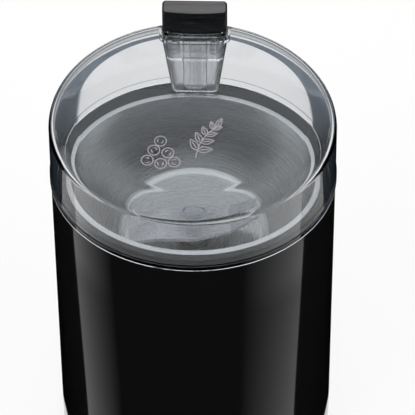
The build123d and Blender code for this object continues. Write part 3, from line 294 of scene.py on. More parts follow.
class Value:
    """An output socket that can be added, multiplied and so on."""

    def __init__(self, graph: Graph, socket: bpy.types.NodeSocket) -> None:
        """Wrap a socket.

        Args:
            graph: the tree that it belongs to.
            socket: the socket.
        """
        self.graph = graph
        self.socket = socket

    def _math(self, operation: str, *terms: object) -> "Value":
        """Add a Math node.

        Args:
            operation: Blender's name of the operation.
            terms: values or numbers, in order.

        Returns:
            The result.
        """
        inputs = {f"i{place}": term for place, term in enumerate(terms)}
        return self.graph.out(self.graph.node("ShaderNodeMath", {"operation": operation}, **inputs))

    def __add__(self, other: object) -> "Value":
        """Sum."""
        return self._math("ADD", self, other)

    __radd__ = __add__

    def __sub__(self, other: object) -> "Value":
        """Difference."""
        return self._math("SUBTRACT", self, other)

    def __rsub__(self, other: object) -> "Value":
        """Difference, the other way round."""
        return self._math("SUBTRACT", other, self)

    def __mul__(self, other: object) -> "Value":
        """Product."""
        return self._math("MULTIPLY", self, other)

    __rmul__ = __mul__

    def __truediv__(self, other: object) -> "Value":
        """Quotient."""
        return self._math("DIVIDE", self, other)

    def __pow__(self, other: object) -> "Value":
        """Power."""
        return self._math("POWER", self, other)

    def __abs__(self) -> "Value":
        """Value without its sign."""
        return self._math("ABSOLUTE", self)

    def angle_to(self, x: "Value") -> "Value":
        """Angle of the point (x, self)."""
        return self._math("ARCTAN2", self, x)

    def most(self, other: object) -> "Value":
        """The larger of two."""
        return self._math("MAXIMUM", self, other)

    def above(self, limit: float) -> "Value":
        """1 where the value is over a limit, and 0 elsewhere."""
        return self._math("GREATER_THAN", self, limit)


def grey(level: float) -> tuple[float, float, float, float]:
    """A grey of one level."""
    return (level, level, level, 1.0)


# ---------------------------------------------------------------------------------
# Finishes
# ---------------------------------------------------------------------------------
@dataclass(frozen=True)
class Grained:
    """A finish whose colour, roughness and height follow one noise.

    The two values of a reach are the noise at the first and at the second end. Most of a
    noise lies within NOISE_REACH.
    """

    name: str
    colour: tuple
    roughness: Pair
    grain_scale: float
    grain_detail: float = 4.0
    grain_share: float = 0.6
    grain_stretch: Point | None = None
    reach: Pair = NOISE_REACH
    other_colour: tuple | None = None
    colour_reach: Pair = NOISE_REACH
    bump_share: float = 0.0
    bump_height: float = 0.0
    constants: Constants = ()

    def place(self, graph: Graph) -> Value:
        """Where the noise is read.

        Args:
            graph: the shader tree.

        Returns:
            The vector.
        """
        place = graph.position()
        return graph.stretch(place, self.grain_stretch) if self.grain_stretch else place

    def height(self, graph: Graph, grain: Value) -> Value:
        """Height of the surface, which is the grain unless a finish has another.

        Args:
            graph: the shader tree; not used.
            grain: the noise.

        Returns:
            The height, 0 to 1.
        """
        return grain

    def material(self) -> bpy.types.Material:
        """Build the material.

        Returns:
            The material.
        """
        graph = Graph(self.name)
        grain = graph.noise(self.place(graph), self.grain_scale, self.grain_detail, self.grain_share)
        sockets = dict(self.constants, Base_Color=self.colour)
        sockets["Roughness"] = graph.ramp(grain, *self.reach, *self.roughness)
        if self.other_colour:
            share = graph.ramp(grain, *self.colour_reach, 0.0, 1.0)
            sockets["Base_Color"] = graph.mix(share, self.colour, self.other_colour)
        if self.bump_height:
            height = self.height(graph, grain)
            sockets["Normal"] = graph.bump(height, self.bump_share, self.bump_height)
        return graph.finish(**sockets)


@dataclass(frozen=True)
class GlossBlack(Grained):
    """Polished black plastic, with a little dust and the faint waviness of a moulding."""

    name: str = "gloss_black"
    colour: tuple = (0.0046, 0.0046, 0.0047, 1.0)
    roughness: Pair = (0.045, 0.095)
    grain_scale: float = 900.0
    grain_detail: float = 5.0
    grain_share: float = 0.7
    reach: Pair = (0.35, 0.75)
    bump_share: float = 0.5
    bump_height: float = 0.03 * MM
    constants: Constants = (("IOR", 1.46),)
    wave_scale: float = 24.0
    wave_stretch: Point = (1.0, 1.0, 0.25)

    def height(self, graph: Graph, grain: Value) -> Value:
        """Slow waves in place of the grain.

        Args:
            graph: the shader tree.
            grain: the noise; not used.

        Returns:
            The height, 0 to 1.
        """
        place = graph.stretch(graph.position(), self.wave_stretch)
        return graph.noise(place, self.wave_scale, detail=1.0)


@dataclass(frozen=True)
class SatinBlack(Grained):
    """Black plastic with a fine grain, for the deck, the base and inner parts."""

    name: str = "satin_black"
    colour: tuple = (0.012, 0.013, 0.015, 1.0)
    roughness: Pair = (0.25, 0.38)
    grain_scale: float = 2400.0
    grain_detail: float = 3.0
    bump_share: float = 0.4
    bump_height: float = 0.02 * MM


@dataclass(frozen=True)
class ButtonBlack(Grained):
    """Black plastic of the button, with fine streaks along X."""

    name: str = "button_black"
    colour: tuple = (0.003, 0.003, 0.0035, 1.0)
    other_colour: tuple = (0.004, 0.004, 0.0045, 1.0)
    roughness: Pair = (0.14, 0.32)
    grain_scale: float = 1500.0
    grain_stretch: Point = (0.05, 1.0, 0.6)
    bump_share: float = 0.5
    bump_height: float = 0.02 * MM
    constants: Constants = (("Specular_IOR_Level", 0.3),)


@dataclass(frozen=True)
class ButtonTopPaintedSheen(ButtonBlack):
    """Pressing face of the button, painted greyer to stand for the sheen of the light that falls on it
    from above, and with coarser streaks.
    """

    name: str = "button_top_painted_sheen"
    # Painted sheen: these greyer colours stand for the light from above on the top face, not a second
    # plastic.
    colour: tuple = (0.055, 0.055, 0.057, 1.0)
    other_colour: tuple = (0.1, 0.1, 0.103, 1.0)
    roughness: Pair = (0.28, 0.46)
    grain_scale: float = 900.0
    constants: Constants = (("Specular_IOR_Level", 0.5),)


@dataclass(frozen=True)
class ClearPlastic:
    """Clear moulded plastic with faint draw lines."""

    colour: tuple = (0.89, 0.895, 0.905, 1.0)
    roughness: float = 0.012
    ior: float = 1.49
    wave_scale: float = 30.0
    wave_stretch: Point = (1.0, 1.0, 0.3)
    wave_share: float = 0.4
    wave_height: float = 0.003 * MM

    def material(self) -> bpy.types.Material:
        """Build the material.

        Returns:
            The material.
        """
        graph = Graph("clear_plastic")
        place = graph.stretch(graph.position(), self.wave_stretch)
        wave = graph.noise(place, self.wave_scale, detail=2.0)
        return graph.finish(
            Base_Color=self.colour,
            Roughness=self.roughness,
            IOR=self.ior,
            Transmission_Weight=1.0,
            Normal=graph.bump(wave, self.wave_share, self.wave_height),
        )


@dataclass(frozen=True)
class FrostedPlastic(Grained):
    """Clear plastic with a matt face and fine upright draw lines, for the channel."""

    name: str = "frosted_plastic"
    colour: tuple = (0.97, 0.975, 0.98, 1.0)
    other_colour: tuple = (0.84, 0.85, 0.87, 1.0)
    roughness: Pair = (0.19, 0.37)
    grain_scale: float = 420.0
    grain_detail: float = 3.0
    grain_stretch: Point = (1.0, 1.0, 0.03)
    constants: Constants = (("IOR", 1.49), ("Transmission_Weight", 1.0))


@dataclass(frozen=True)
class TurnedSteel(Grained):
    """Stainless steel with fine lines that run round the Z axis."""

    name: str = "drawn_steel"
    colour: tuple = (0.6, 0.6, 0.6, 1.0)
    roughness: Pair = (0.17, 0.34)
    grain_scale: float = 4200.0
    grain_detail: float = 5.0
    grain_share: float = 0.65
    bump_share: float = 0.5
    bump_height: float = 0.002 * MM
    constants: Constants = METAL
    turn_z: float = 0.0
    turn_length: float = 0.15 * MM

    def place(self, graph: Graph) -> Value:
        """Height and a little of the angle, and below turn_z the radius as well.

        Args:
            graph: the shader tree.

        Returns:
            The vector.
        """
        x, y, z = graph.split(graph.position())
        radius = (x * x + y * y) ** 0.5
        flat = 1.0 - z.above(self.turn_z)
        turn = y.angle_to(x) * self.turn_length
        return graph.out(graph.node("ShaderNodeCombineXYZ", X=radius * flat, Y=z, Z=turn))


@dataclass(frozen=True)
class GroundSteel(Grained):
    """Steel ground along X, for blades, screws and springs."""

    name: str = "ground_steel"
    colour: tuple = (0.56, 0.56, 0.58, 1.0)
    roughness: Pair = (0.19, 0.37)
    grain_scale: float = 3000.0
    grain_stretch: Point = (0.08, 1.0, 1.0)
    bump_share: float = 0.4
    bump_height: float = 0.01 * MM
    constants: Constants = METAL


@dataclass(frozen=True)
class Rubber(Grained):
    """Soft black rubber with a powdery surface."""

    name: str = "soft_rubber"
    colour: tuple = (0.018, 0.018, 0.019, 1.0)
    other_colour: tuple = grey(0.032)
    colour_reach: Pair = (0.0, 1.0)
    roughness: Pair = (0.62, 0.82)
    grain_scale: float = 1800.0
    grain_detail: float = 5.0
    grain_share: float = 0.7
    bump_share: float = 0.5
    bump_height: float = 0.03 * MM


@dataclass(frozen=True)
class SoftMetal(Grained):
    """Copper or brass with a little tarnish."""

    roughness: Pair = (0.25, 0.45)
    grain_scale: float = 260.0
    grain_detail: float = 5.0
    colour_reach: Pair = (0.35, 0.7)
    constants: Constants = METAL


@dataclass(frozen=True)
class MouldedGrey(Grained):
    """Pale engineering plastic of the motor's parts."""

    name: str = "motor_plastic"
    colour: tuple = (0.42, 0.42, 0.38, 1.0)
    other_colour: tuple = (0.36, 0.36, 0.33, 1.0)
    colour_reach: Pair = (0.0, 1.0)
    roughness: Pair = (0.42, 0.58)
    grain_scale: float = 1500.0
    bump_share: float = 0.3
    bump_height: float = 0.02 * MM


@dataclass(frozen=True)
class PrintedLilac(Grained):
    """Pale lilac print on the lid."""

    name: str = "lilac_print"
    colour: tuple = (0.31, 0.285, 0.31, 1.0)
    other_colour: tuple = (0.38, 0.355, 0.38, 1.0)
    colour_reach: Pair = (0.0, 1.0)
    roughness: Pair = (0.4, 0.55)
    grain_scale: float = 2200.0
    grain_detail: float = 3.0


class Palette:
    """Every finish, built once."""

    bowl_turn_rise = 3.5 * MM

    def __init__(self) -> None:
        """Build the materials and keep them by slot."""
        copper = SoftMetal("copper_wire", (0.75, 0.33, 0.18, 1.0), other_colour=(0.5, 0.2, 0.1, 1.0))
        brass = SoftMetal("sheet_brass", (0.72, 0.55, 0.26, 1.0), other_colour=(0.5, 0.38, 0.18, 1.0))
        carbon = SatinBlack("carbon_block", (0.02, 0.02, 0.021, 1.0), (0.5, 0.63))
        turn_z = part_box("grinding_bowl")[0].z + self.bowl_turn_rise
        self.button = ButtonBlack().material()
        # Painted sheen: a greyer copy of the button's black for its top face, standing for the light
        # from above.
        self.button_top_painted_sheen = ButtonTopPaintedSheen().material()
        self.frosted = FrostedPlastic().material()
        self.print = PrintedLilac().material()
        self.by_slot = {
            Slot.GLOSS_BLACK: GlossBlack().material(),
            Slot.CLEAR: ClearPlastic().material(),
            Slot.DECK: SatinBlack().material(),
            Slot.MOTOR_PLASTIC: MouldedGrey().material(),
            Slot.BOWL: TurnedSteel(turn_z=turn_z).material(),
            Slot.STEEL: GroundSteel().material(),
            Slot.RUBBER: Rubber().material(),
            Slot.COPPER: copper.material(),
            Slot.BRASS: brass.material(),
            Slot.CARBON: carbon.material(),
        }

    def dress_frame(self) -> None:
        """Give every CAD node the finish of its slot."""
        for part in frame["record"]["subparts"]:
            node = frame["nodes"][part["node"]]
            material = self.by_slot[Slot(part["material_slot"])]
            for place in node.material_slots:
                place.material = material


# ---------------------------------------------------------------------------------
# Outlines and lofted meshes
# ---------------------------------------------------------------------------------
@dataclass(frozen=True)
class Oval:
    """An ellipse in plan."""

    half_width: float
    half_depth: float
    centre_y: float = 0.0

    def inset(self, by: float) -> "Oval":
        """The oval with its half sizes drawn in."""
        return Oval(self.half_width - by, self.half_depth - by, self.centre_y)

    def outline(self, count: int) -> Outline:
        """Points round the oval.

        Args:
            count: number of points.

        Returns:
            The points, anticlockwise from +X.
        """
        turns = [2 * math.pi * step / count for step in range(count)]
        return [
            (self.half_width * math.cos(t), self.centre_y + self.half_depth * math.sin(t))
            for t in turns
        ]

    def shifted(self, middle: Vector, count: int) -> Outline:
        """Points round the oval, moved to another middle."""
        return [(x + middle.x, y + middle.y) for x, y in self.outline(count)]

    def ring(self, height: Height, count: int) -> list[Point]:
        """The outline, stood at a height or on a surface."""
        return ring(self.outline(count), height)


def arc(centre: Sequence[float], radius: float, start: float, sweep: float, steps: int) -> Outline:
    """Points on a part of a circle, with both ends.

    Args:
        centre: middle of the circle.
        radius: its radius.
        start: angle of the first point.
        sweep: angle from the first point to the last.
        steps: number of steps between them.

    Returns:
        The points.
    """
    turns = [start + sweep * step / steps for step in range(steps + 1)]
    return [(centre[0] + radius * math.cos(t), centre[1] + radius * math.sin(t)) for t in turns]


def inward(outline: Outline, by: float) -> Outline:
    """Move every point of a closed outline inwards along its normal.

    Args:
        outline: points, anticlockwise.
        by: distance in metres.

    Returns:
        The moved points.
    """
    moved = []
    count = len(outline)
    for place, (x, y) in enumerate(outline):
        before = outline[place - 1]
        after = outline[(place + 1) % count]
        along = Vector((after[0] - before[0], after[1] - before[1])).normalized()
        moved.append((x - along.y * by, y + along.x * by))
    return moved


def rounded_box(width: float, depth: float, radius: float, centre_y: float, per_corner: int) -> Outline:
    """Outline of a rectangle with round corners.

    Args:
        width: size along X.
        depth: size along Y.
        radius: corner radius.
        centre_y: place of its middle.
        per_corner: steps in each corner.

    Returns:
        The points, anticlockwise from the right.
    """
    points = []
    for corner, (side_x, side_y) in enumerate(((1, -1), (1, 1), (-1, 1), (-1, -1))):
        middle = (side_x * (width / 2 - radius), centre_y + side_y * (depth / 2 - radius))
        points += arc(middle, radius, QUARTER * (corner - 1), QUARTER, per_corner)
    return points


def ring(outline: Outline, height: Height) -> list[Point]:
    """Stand an outline at a height, or on a surface.

    Args:
        outline: plan points.
        height: one height, or a function of x and y.

    Returns:
        Points in space.
    """
    if callable(height):
        return [(x, y, height(x, y)) for x, y in outline]
    return [(x, y, height) for x, y in outline]


def rounding(radius: float, steps: int = 6) -> list[Pair]:
    """Inset and rise of a quarter round that starts at the side and ends on top.

    Args:
        radius: its radius.
        steps: number of steps.

    Returns:
        Pairs of inset and height above its start.
    """
    turns = [QUARTER * step / steps for step in range(steps + 1)]
    return [(radius * (1 - math.cos(t)), radius * math.sin(t)) for t in turns]


def skin(shape: bmesh.types.BMesh, rings: Rings, closed: bool, caps: bool) -> None:
    """Add faces between a row of rings with the same number of points.

    Args:
        shape: the bmesh that they are added to.
        rings: the rings, in order.
        closed: join the last ring to the first, as in a tube bent round.
        caps: close the first and the last ring with a face.
    """
    made = [[shape.verts.new(point) for point in line] for line in rings]
    count = len(rings[0])
    pairs = list(zip(made, made[1:]))
    if closed:
        pairs.append((made[-1], made[0]))
    for lower, upper in pairs:
        for place in range(count):
            after = (place + 1) % count
            shape.faces.new((lower[place], lower[after], upper[after], upper[place]))
    if caps and not closed:
        shape.faces.new(list(reversed(made[0])))
        shape.faces.new(made[-1])


def link(made: bpy.types.Object) -> bpy.types.Object:
    """Put an object into the scene."""
    bpy.context.scene.collection.objects.link(made)
    return made


class Piece:
    """A mesh of the visible model."""

    def __init__(self, name: str, mesh: bpy.types.Mesh) -> None:
        """Link a mesh into the scene.

        Args:
            name: name of the piece.
            mesh: its mesh, in the frame's metres.
        """
        self.object = link(bpy.data.objects.new(name, mesh))

    @classmethod
    def loft(
        cls, name: str, rings: Rings, closed: bool = False, caps: bool = True
    ) -> "Piece":
        """Skin a row of rings with the same number of points.

        Args:
            name: name of the piece.
            rings: the rings, in order.
            closed: join the last ring to the first, as in a tube bent round.
            caps: close the first and the last ring with a face.

        Returns:
            The piece.
        """
        shape = bmesh.new()
        skin(shape, rings, closed, caps)
        return cls.from_bmesh(name, shape)

    @classmethod
    def from_bmesh(cls, name: str, shape: bmesh.types.BMesh) -> "Piece":
        """Turn a bmesh into a piece with smooth faces.

        Args:
            name: name of the piece.
            shape: the bmesh, which is freed.

        Returns:
            The piece.
        """
        bmesh.ops.recalc_face_normals(shape, faces=shape.faces)
        mesh = bpy.data.meshes.new(name)
        shape.to_mesh(mesh)
        shape.free()
        mesh.polygons.foreach_set("use_smooth", [True] * len(mesh.polygons))
        return cls(name, mesh)

    def combine(self, other: "Piece", way: Combine = Combine.CUT) -> "Piece":
        """Cut or join with another piece, which is used up.

        Args:
            other: the cutter or the addition.
            way: cut or join.

        Returns:
            This piece.
        """
        modifier = self.object.modifiers.new("combine", "BOOLEAN")
        modifier.operation = way.value
        modifier.solver = "EXACT"
        modifier.object = other.object
        bpy.context.view_layer.update()
        depsgraph = bpy.context.evaluated_depsgraph_get()
        mesh = bpy.data.meshes.new_from_object(self.object.evaluated_get(depsgraph))
        old = self.object.data
        self.object.modifiers.clear()
        self.object.data = mesh
        mesh.name = old.name
        bpy.data.meshes.remove(old)
        bpy.data.objects.remove(other.object)
        return self

    def sharpen(self, degrees: float) -> "Piece":
        """Keep edges that turn more than an angle sharp.

        Args:
            degrees: the angle.

        Returns:
            This piece.
        """
        self.object.data.set_sharp_from_angle(angle=math.radians(degrees))
        return self

    def dress(
        self, material: bpy.types.Material, slot: Slot, body: Body, nodes: Iterable[str] = ()
    ) -> "Piece":
        """Give the piece its finish and its place in the frame.

        Args:
            material: its finish.
            slot: the record's slot; not used.
            body: the body that it rides.
            nodes: CAD nodes that it stands for.

        Returns:
            This piece.
        """
        self.object.data.materials.clear()
        self.object.data.materials.append(material)
        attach(self.object, body.value)
        if nodes:
            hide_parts(*nodes)
        LOG.info("%s rides %s, %d faces", self.object.name, body.value, len(self.object.data.polygons))
        return self

    def part_finish(self, material: bpy.types.Material, holds: Callable[[Vector], bool]) -> "Piece":
        """Give some of the faces a finish of their own.

        Args:
            material: the finish.
            holds: says whether a face with this centre takes it.

        Returns:
            This piece.
        """
        self.object.data.materials.append(material)
        place = len(self.object.data.materials) - 1
        for face in self.object.data.polygons:
            if holds(face.center):
                face.material_index = place
        return self


# ---------------------------------------------------------------------------------
# Sub-assemblies
# ---------------------------------------------------------------------------------
@dataclass
class Housing:
    """Drafted oval shell with a rounded rim and foot, and a notch for the cord inlet."""

    palette: Palette
    wall: float = 2.5 * MM
    draft: float = math.radians(0.25)
    foot_radius: float = 1.3 * MM
    rim_radius: float = 0.45 * MM
    crease: float = 35.0
    inlet_flange: float = 1.5 * MM
    notch_gap: float = 0.05 * MM
    notch_y: Pair = (30.0 * MM, 60.0 * MM)
    points: int = 320

    def __post_init__(self) -> None:
        """Read the size from the frame."""
        low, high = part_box("housing")
        self.low_z = low.z
        self.high_z = high.z
        self.top = Oval(high.x, high.y)

    def oval(self, z: float, inset: float = 0.0) -> Oval:
        """The oval at a height."""
        return self.top.inset((self.high_z - z) * math.tan(self.draft) + inset)

    def build(self) -> None:
        """Make the shell and cut the notch."""
        rings = []
        for inset, rise in reversed(rounding(self.foot_radius)):
            z = self.low_z + self.foot_radius - rise
            rings.append(self.oval(z, inset).ring(z, self.points))
        for inset, rise in rounding(self.rim_radius):
            z = self.high_z - self.rim_radius + rise
            rings.append(self.oval(z, inset).ring(z, self.points))
        for z in (self.high_z, self.low_z):
            rings.append(self.oval(z, self.wall).ring(z, self.points))
        shell = Piece.loft("housing_shell", rings, closed=True)
        shell.combine(self._notch()).sharpen(self.crease)
        shell.dress(self.palette.by_slot[Slot.GLOSS_BLACK], Slot.GLOSS_BLACK, Body.BASE, ["housing"])

    def _notch(self) -> Piece:
        """Cutter for the cord inlet, open at the bottom edge.

        Returns:
            The cutter.
        """
        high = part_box("cord_inlet")[1]
        half = high.x - self.inlet_flange + self.notch_gap
        front, back = self.notch_y
        plan = [(half, front), (half, back), (-half, back), (-half, front)]
        heights = (self.low_z - MM, high.z + self.notch_gap)
        return Piece.loft("notch", [ring(plan, z) for z in heights])


@dataclass
class Deck:
    """Flange and raised collar with a flat back, round the mouth of the bowl."""

    palette: Palette
    collar_setback: float = 0.85 * MM
    edge: float = 0.5 * MM
    flange: float = 2.5 * MM
    rebate: float = 1.4 * MM
    gap: float = 0.1 * MM
    flat_y: float = 34.0 * MM
    crease: float = 35.0
    slot_size: Pair = (8.6 * MM, 2.8 * MM)
    slot_corner: float = 0.3 * MM
    points: int = 320

    def build(self, housing: Housing, bowl: "Bowl") -> None:
        """Make the ring and cut the slot of the plunger.

        Args:
            housing: the shell that the flange lies in.
            bowl: the bowl that hangs in the opening.
        """
        parting = housing.high_z
        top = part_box("top_deck")[1].z
        seat = parting - self.flange
        flange = housing.oval(seat, housing.wall + self.gap)
        collar = housing.oval(parting, housing.wall + self.gap + self.collar_setback)
        opening = bowl.mouth.inset(-bowl.steel - self.gap)
        rebate = bowl.lip.inset(-self.gap)

        def flattened(oval: Oval, inset: float) -> Outline:
            """Outline of the collar with its back cut straight."""
            cut = self.flat_y - inset
            return [(x, min(y, cut)) for x, y in oval.inset(inset).outline(self.points)]

        rings = [opening.ring(seat, self.points), flange.ring(seat, self.points)]
        rings.append(flange.ring(parting, self.points))
        rings.append(ring(flattened(collar, 0.0), parting))
        for inset, rise in rounding(self.edge, steps=4):
            rings.append(ring(flattened(collar, inset), top - self.edge + rise))
        rings.append(rebate.ring(top, self.points))
        rings.append(rebate.ring(top - self.rebate, self.points))
        rings.append(opening.ring(top - self.rebate, self.points))
        deck = Piece.loft("deck_ring", rings, closed=True)
        deck.combine(self._slot(seat - MM, parting + MM)).sharpen(self.crease)
        deck.dress(self.palette.by_slot[Slot.DECK], Slot.DECK, Body.BASE, ["top_deck"])

    def _slot(self, low: float, high: float) -> Piece:
        """Cutter of the plunger's slot.

        Args:
            low: lower height.
            high: upper height.

        Returns:
            The cutter.
        """
        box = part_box("switch_plunger")
        plan = rounded_box(*self.slot_size, self.slot_corner, (box[0].y + box[1].y) / 2, per_corner=3)
        return Piece.loft("slot", [ring(plan, low), ring(plan, high)])


@dataclass
class Bowl:
    """Steel bowl that flows from an oval mouth into a round floor."""

    palette: Palette
    steel: float = 0.8 * MM
    lip_width: float = 1.1 * MM
    corner: float = 4.0 * MM
    floor_radius: float = 26.5 * MM
    hole: float = 6.0 * MM
    lip_edge: float = 0.15 * MM
    crease: float = 50.0
    corner_lap: float = 0.4 * MM
    corner_steps: int = 8
    floor_shares: tuple[float, ...] = (0.3, 0.6, 0.85)
    points: int = 320
    steps: int = 28

    def __post_init__(self) -> None:
        """Read the mouth and the floor from the frame."""
        low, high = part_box("grinding_bowl")
        centre_y = (low.y + high.y) / 2
        self.lip = Oval(high.x, (high.y - low.y) / 2, centre_y)
        self.mouth = self.lip.inset(self.lip_width + self.steel)
        self.top_z = high.z
        self.floor_z = low.z + self.steel

    def section(self, rise: float, grow: float) -> Oval:
        """The hollow at a share of its height.

        Args:
            rise: 0 at the floor, 1 at the mouth.
            grow: wall outside the hollow.

        Returns:
            Its oval.
        """
        opening = math.sin(rise * QUARTER)
        return Oval(
            self.floor_radius + opening * (self.mouth.half_width - self.floor_radius) + grow,
            self.floor_radius + opening * (self.mouth.half_depth - self.floor_radius) + grow,
            opening * self.mouth.centre_y,
        )

    def _wall(self, floor: float, grow: float) -> list[list[Point]]:
        """Rings of one face of the bowl, from the hole in the floor up to the mouth.

        Args:
            floor: height of this face's floor.
            grow: wall outside the hollow.

        Returns:
            The rings.
        """
        radius = self.corner + grow
        span = self.top_z - floor
        rings = [Oval(self.hole, self.hole).ring(floor, self.points)]
        flat = self.section(0.0, grow).inset(radius)
        for share in self.floor_shares:
            size = self.hole + share * (flat.half_width - self.hole)
            rings.append(Oval(size, size).ring(floor, self.points))
        lean = math.atan((self.mouth.half_width - self.floor_radius) * QUARTER / span)
        reach = radius * math.tan((QUARTER - lean) / 2)
        for step in range(self.corner_steps + 1):
            turn = (QUARTER - lean) * step / self.corner_steps
            out = -reach + radius * math.sin(turn)
            up = radius * (1 - math.cos(turn))
            rings.append(self.section(0.0, grow).inset(-out).ring(floor + up, self.points))
        start = (up + self.corner_lap) / span
        for step in range(self.steps + 1):
            rise = start + (1 - start) * step / self.steps
            rings.append(self.section(rise, grow).ring(floor + rise * span, self.points))
        return rings

    def build(self) -> None:
        """Make the bowl with its lip."""
        inside = self._wall(self.floor_z, 0.0)
        outside = self._wall(self.floor_z - self.steel, self.steel)[:-2]
        lip = [
            self.lip.inset(self.lip_edge).ring(self.top_z, self.points),
            self.lip.ring(self.top_z - self.lip_edge, self.points),
            self.lip.ring(self.top_z - self.steel, self.points),
            self.lip.inset(self.lip_width).ring(self.top_z - self.steel, self.points),
        ]
        bowl = Piece.loft("steel_bowl", inside + lip + outside[::-1], closed=True).sharpen(self.crease)
        bowl.dress(self.palette.by_slot[Slot.BOWL], Slot.BOWL, Body.BASE, ["grinding_bowl"])


@dataclass
class Button:
    """Push button with a bowed front, its neck and its clear push rod."""

    palette: Palette
    step_rise: float = 39.3 * MM
    width: float = 22.9 * MM
    front_y: float = 33.5 * MM
    bulge: float = 0.6 * MM
    corner: float = 1.4 * MM
    edge: float = 0.7 * MM
    back_y: float = 39.4 * MM
    foot_edge: float = 0.3 * MM
    top_inset: float = 0.2 * MM
    top_skin: float = 0.02 * MM
    crease: float = 40.0
    neck_size: Pair = (19.0 * MM, 3.6 * MM)
    neck_corner: float = 0.5 * MM
    neck_y: float = 36.0 * MM
    rod_foot: float = 2.4 * MM
    rod_corner: float = 0.4 * MM
    front_steps: int = 12
    corner_steps: int = 8

    def __post_init__(self) -> None:
        """Place the step over the parting plane."""
        self.step_z = PARTING + self.step_rise

    def outline(self, grow: float = 0.0) -> Outline:
        """Plan of the block, with round corners.

        Args:
            grow: distance outside the block.

        Returns:
            The points, anticlockwise from the front right.
        """
        reach = self.width / 2 - self.corner
        front = self.front_y + self.corner
        back = self.back_y - self.corner
        across = [reach - 2 * reach * k / self.front_steps for k in range(1, self.front_steps)]

        def corner(middle: Pair, start: float) -> Outline:
            """One round corner of the block."""
            return arc(middle, self.corner, start, QUARTER, self.corner_steps)

        points = corner((reach, front), -QUARTER) + corner((reach, back), 0.0)
        points += [(x, self.back_y) for x in across]
        points += corner((-reach, back), QUARTER) + corner((-reach, front), math.pi)
        for x in reversed(across):
            points.append((x, self.front_y - self.bulge * (1 - (x / reach) ** 2)))
        return inward(points, -grow) if grow else points

    def build(self) -> None:
        """Make the block, the neck and the rod."""
        low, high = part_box("push_button")
        plan = self.outline()
        rings = [
            ring(inward(plan, self.foot_edge), self.step_z),
            ring(plan, self.step_z + self.foot_edge),
        ]
        for inset, rise in rounding(self.edge):
            rings.append(ring(inward(plan, inset), high.z - self.edge + rise))
        rings.append(ring(inward(plan, self.edge + self.top_inset), high.z))
        block = Piece.loft("button_block", rings)
        neck_plan = rounded_box(*self.neck_size, self.neck_corner, self.neck_y, per_corner=4)
        neck = Piece.loft("neck", [ring(neck_plan, low.z), ring(neck_plan, self.step_z + MM)])
        block.combine(neck, Combine.JOIN).sharpen(self.crease)
        block.dress(self.palette.button, Slot.GLOSS_BLACK, Body.BUTTON, ["push_button"])
        # The top faces take the greyer copy, a painted sheen of the light from above.
        block.part_finish(self.palette.button_top_painted_sheen, lambda centre: centre.z > high.z - self.top_skin)
        self._build_rod(low.z)

    def _build_rod(self, top: float) -> None:
        """Make the clear tongue under the neck.

        Args:
            top: height of the neck's lower end.
        """
        low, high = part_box("push_rod")
        middle_y = (low.y + high.y) / 2
        rings = []
        for inset, drop in reversed(rounding(self.rod_foot, steps=8)):
            width = high.x - low.x - 2 * inset
            plan = rounded_box(width, high.y - low.y, self.rod_corner, middle_y, per_corner=4)
            rings.append(ring(plan, low.z + self.rod_foot - drop))
        rings.append(ring(plan, top))
        rod = Piece.loft("clear_rod", rings).sharpen(self.crease)
        rod.dress(self.palette.by_slot[Slot.CLEAR], Slot.CLEAR, Body.BUTTON, ["push_rod"])


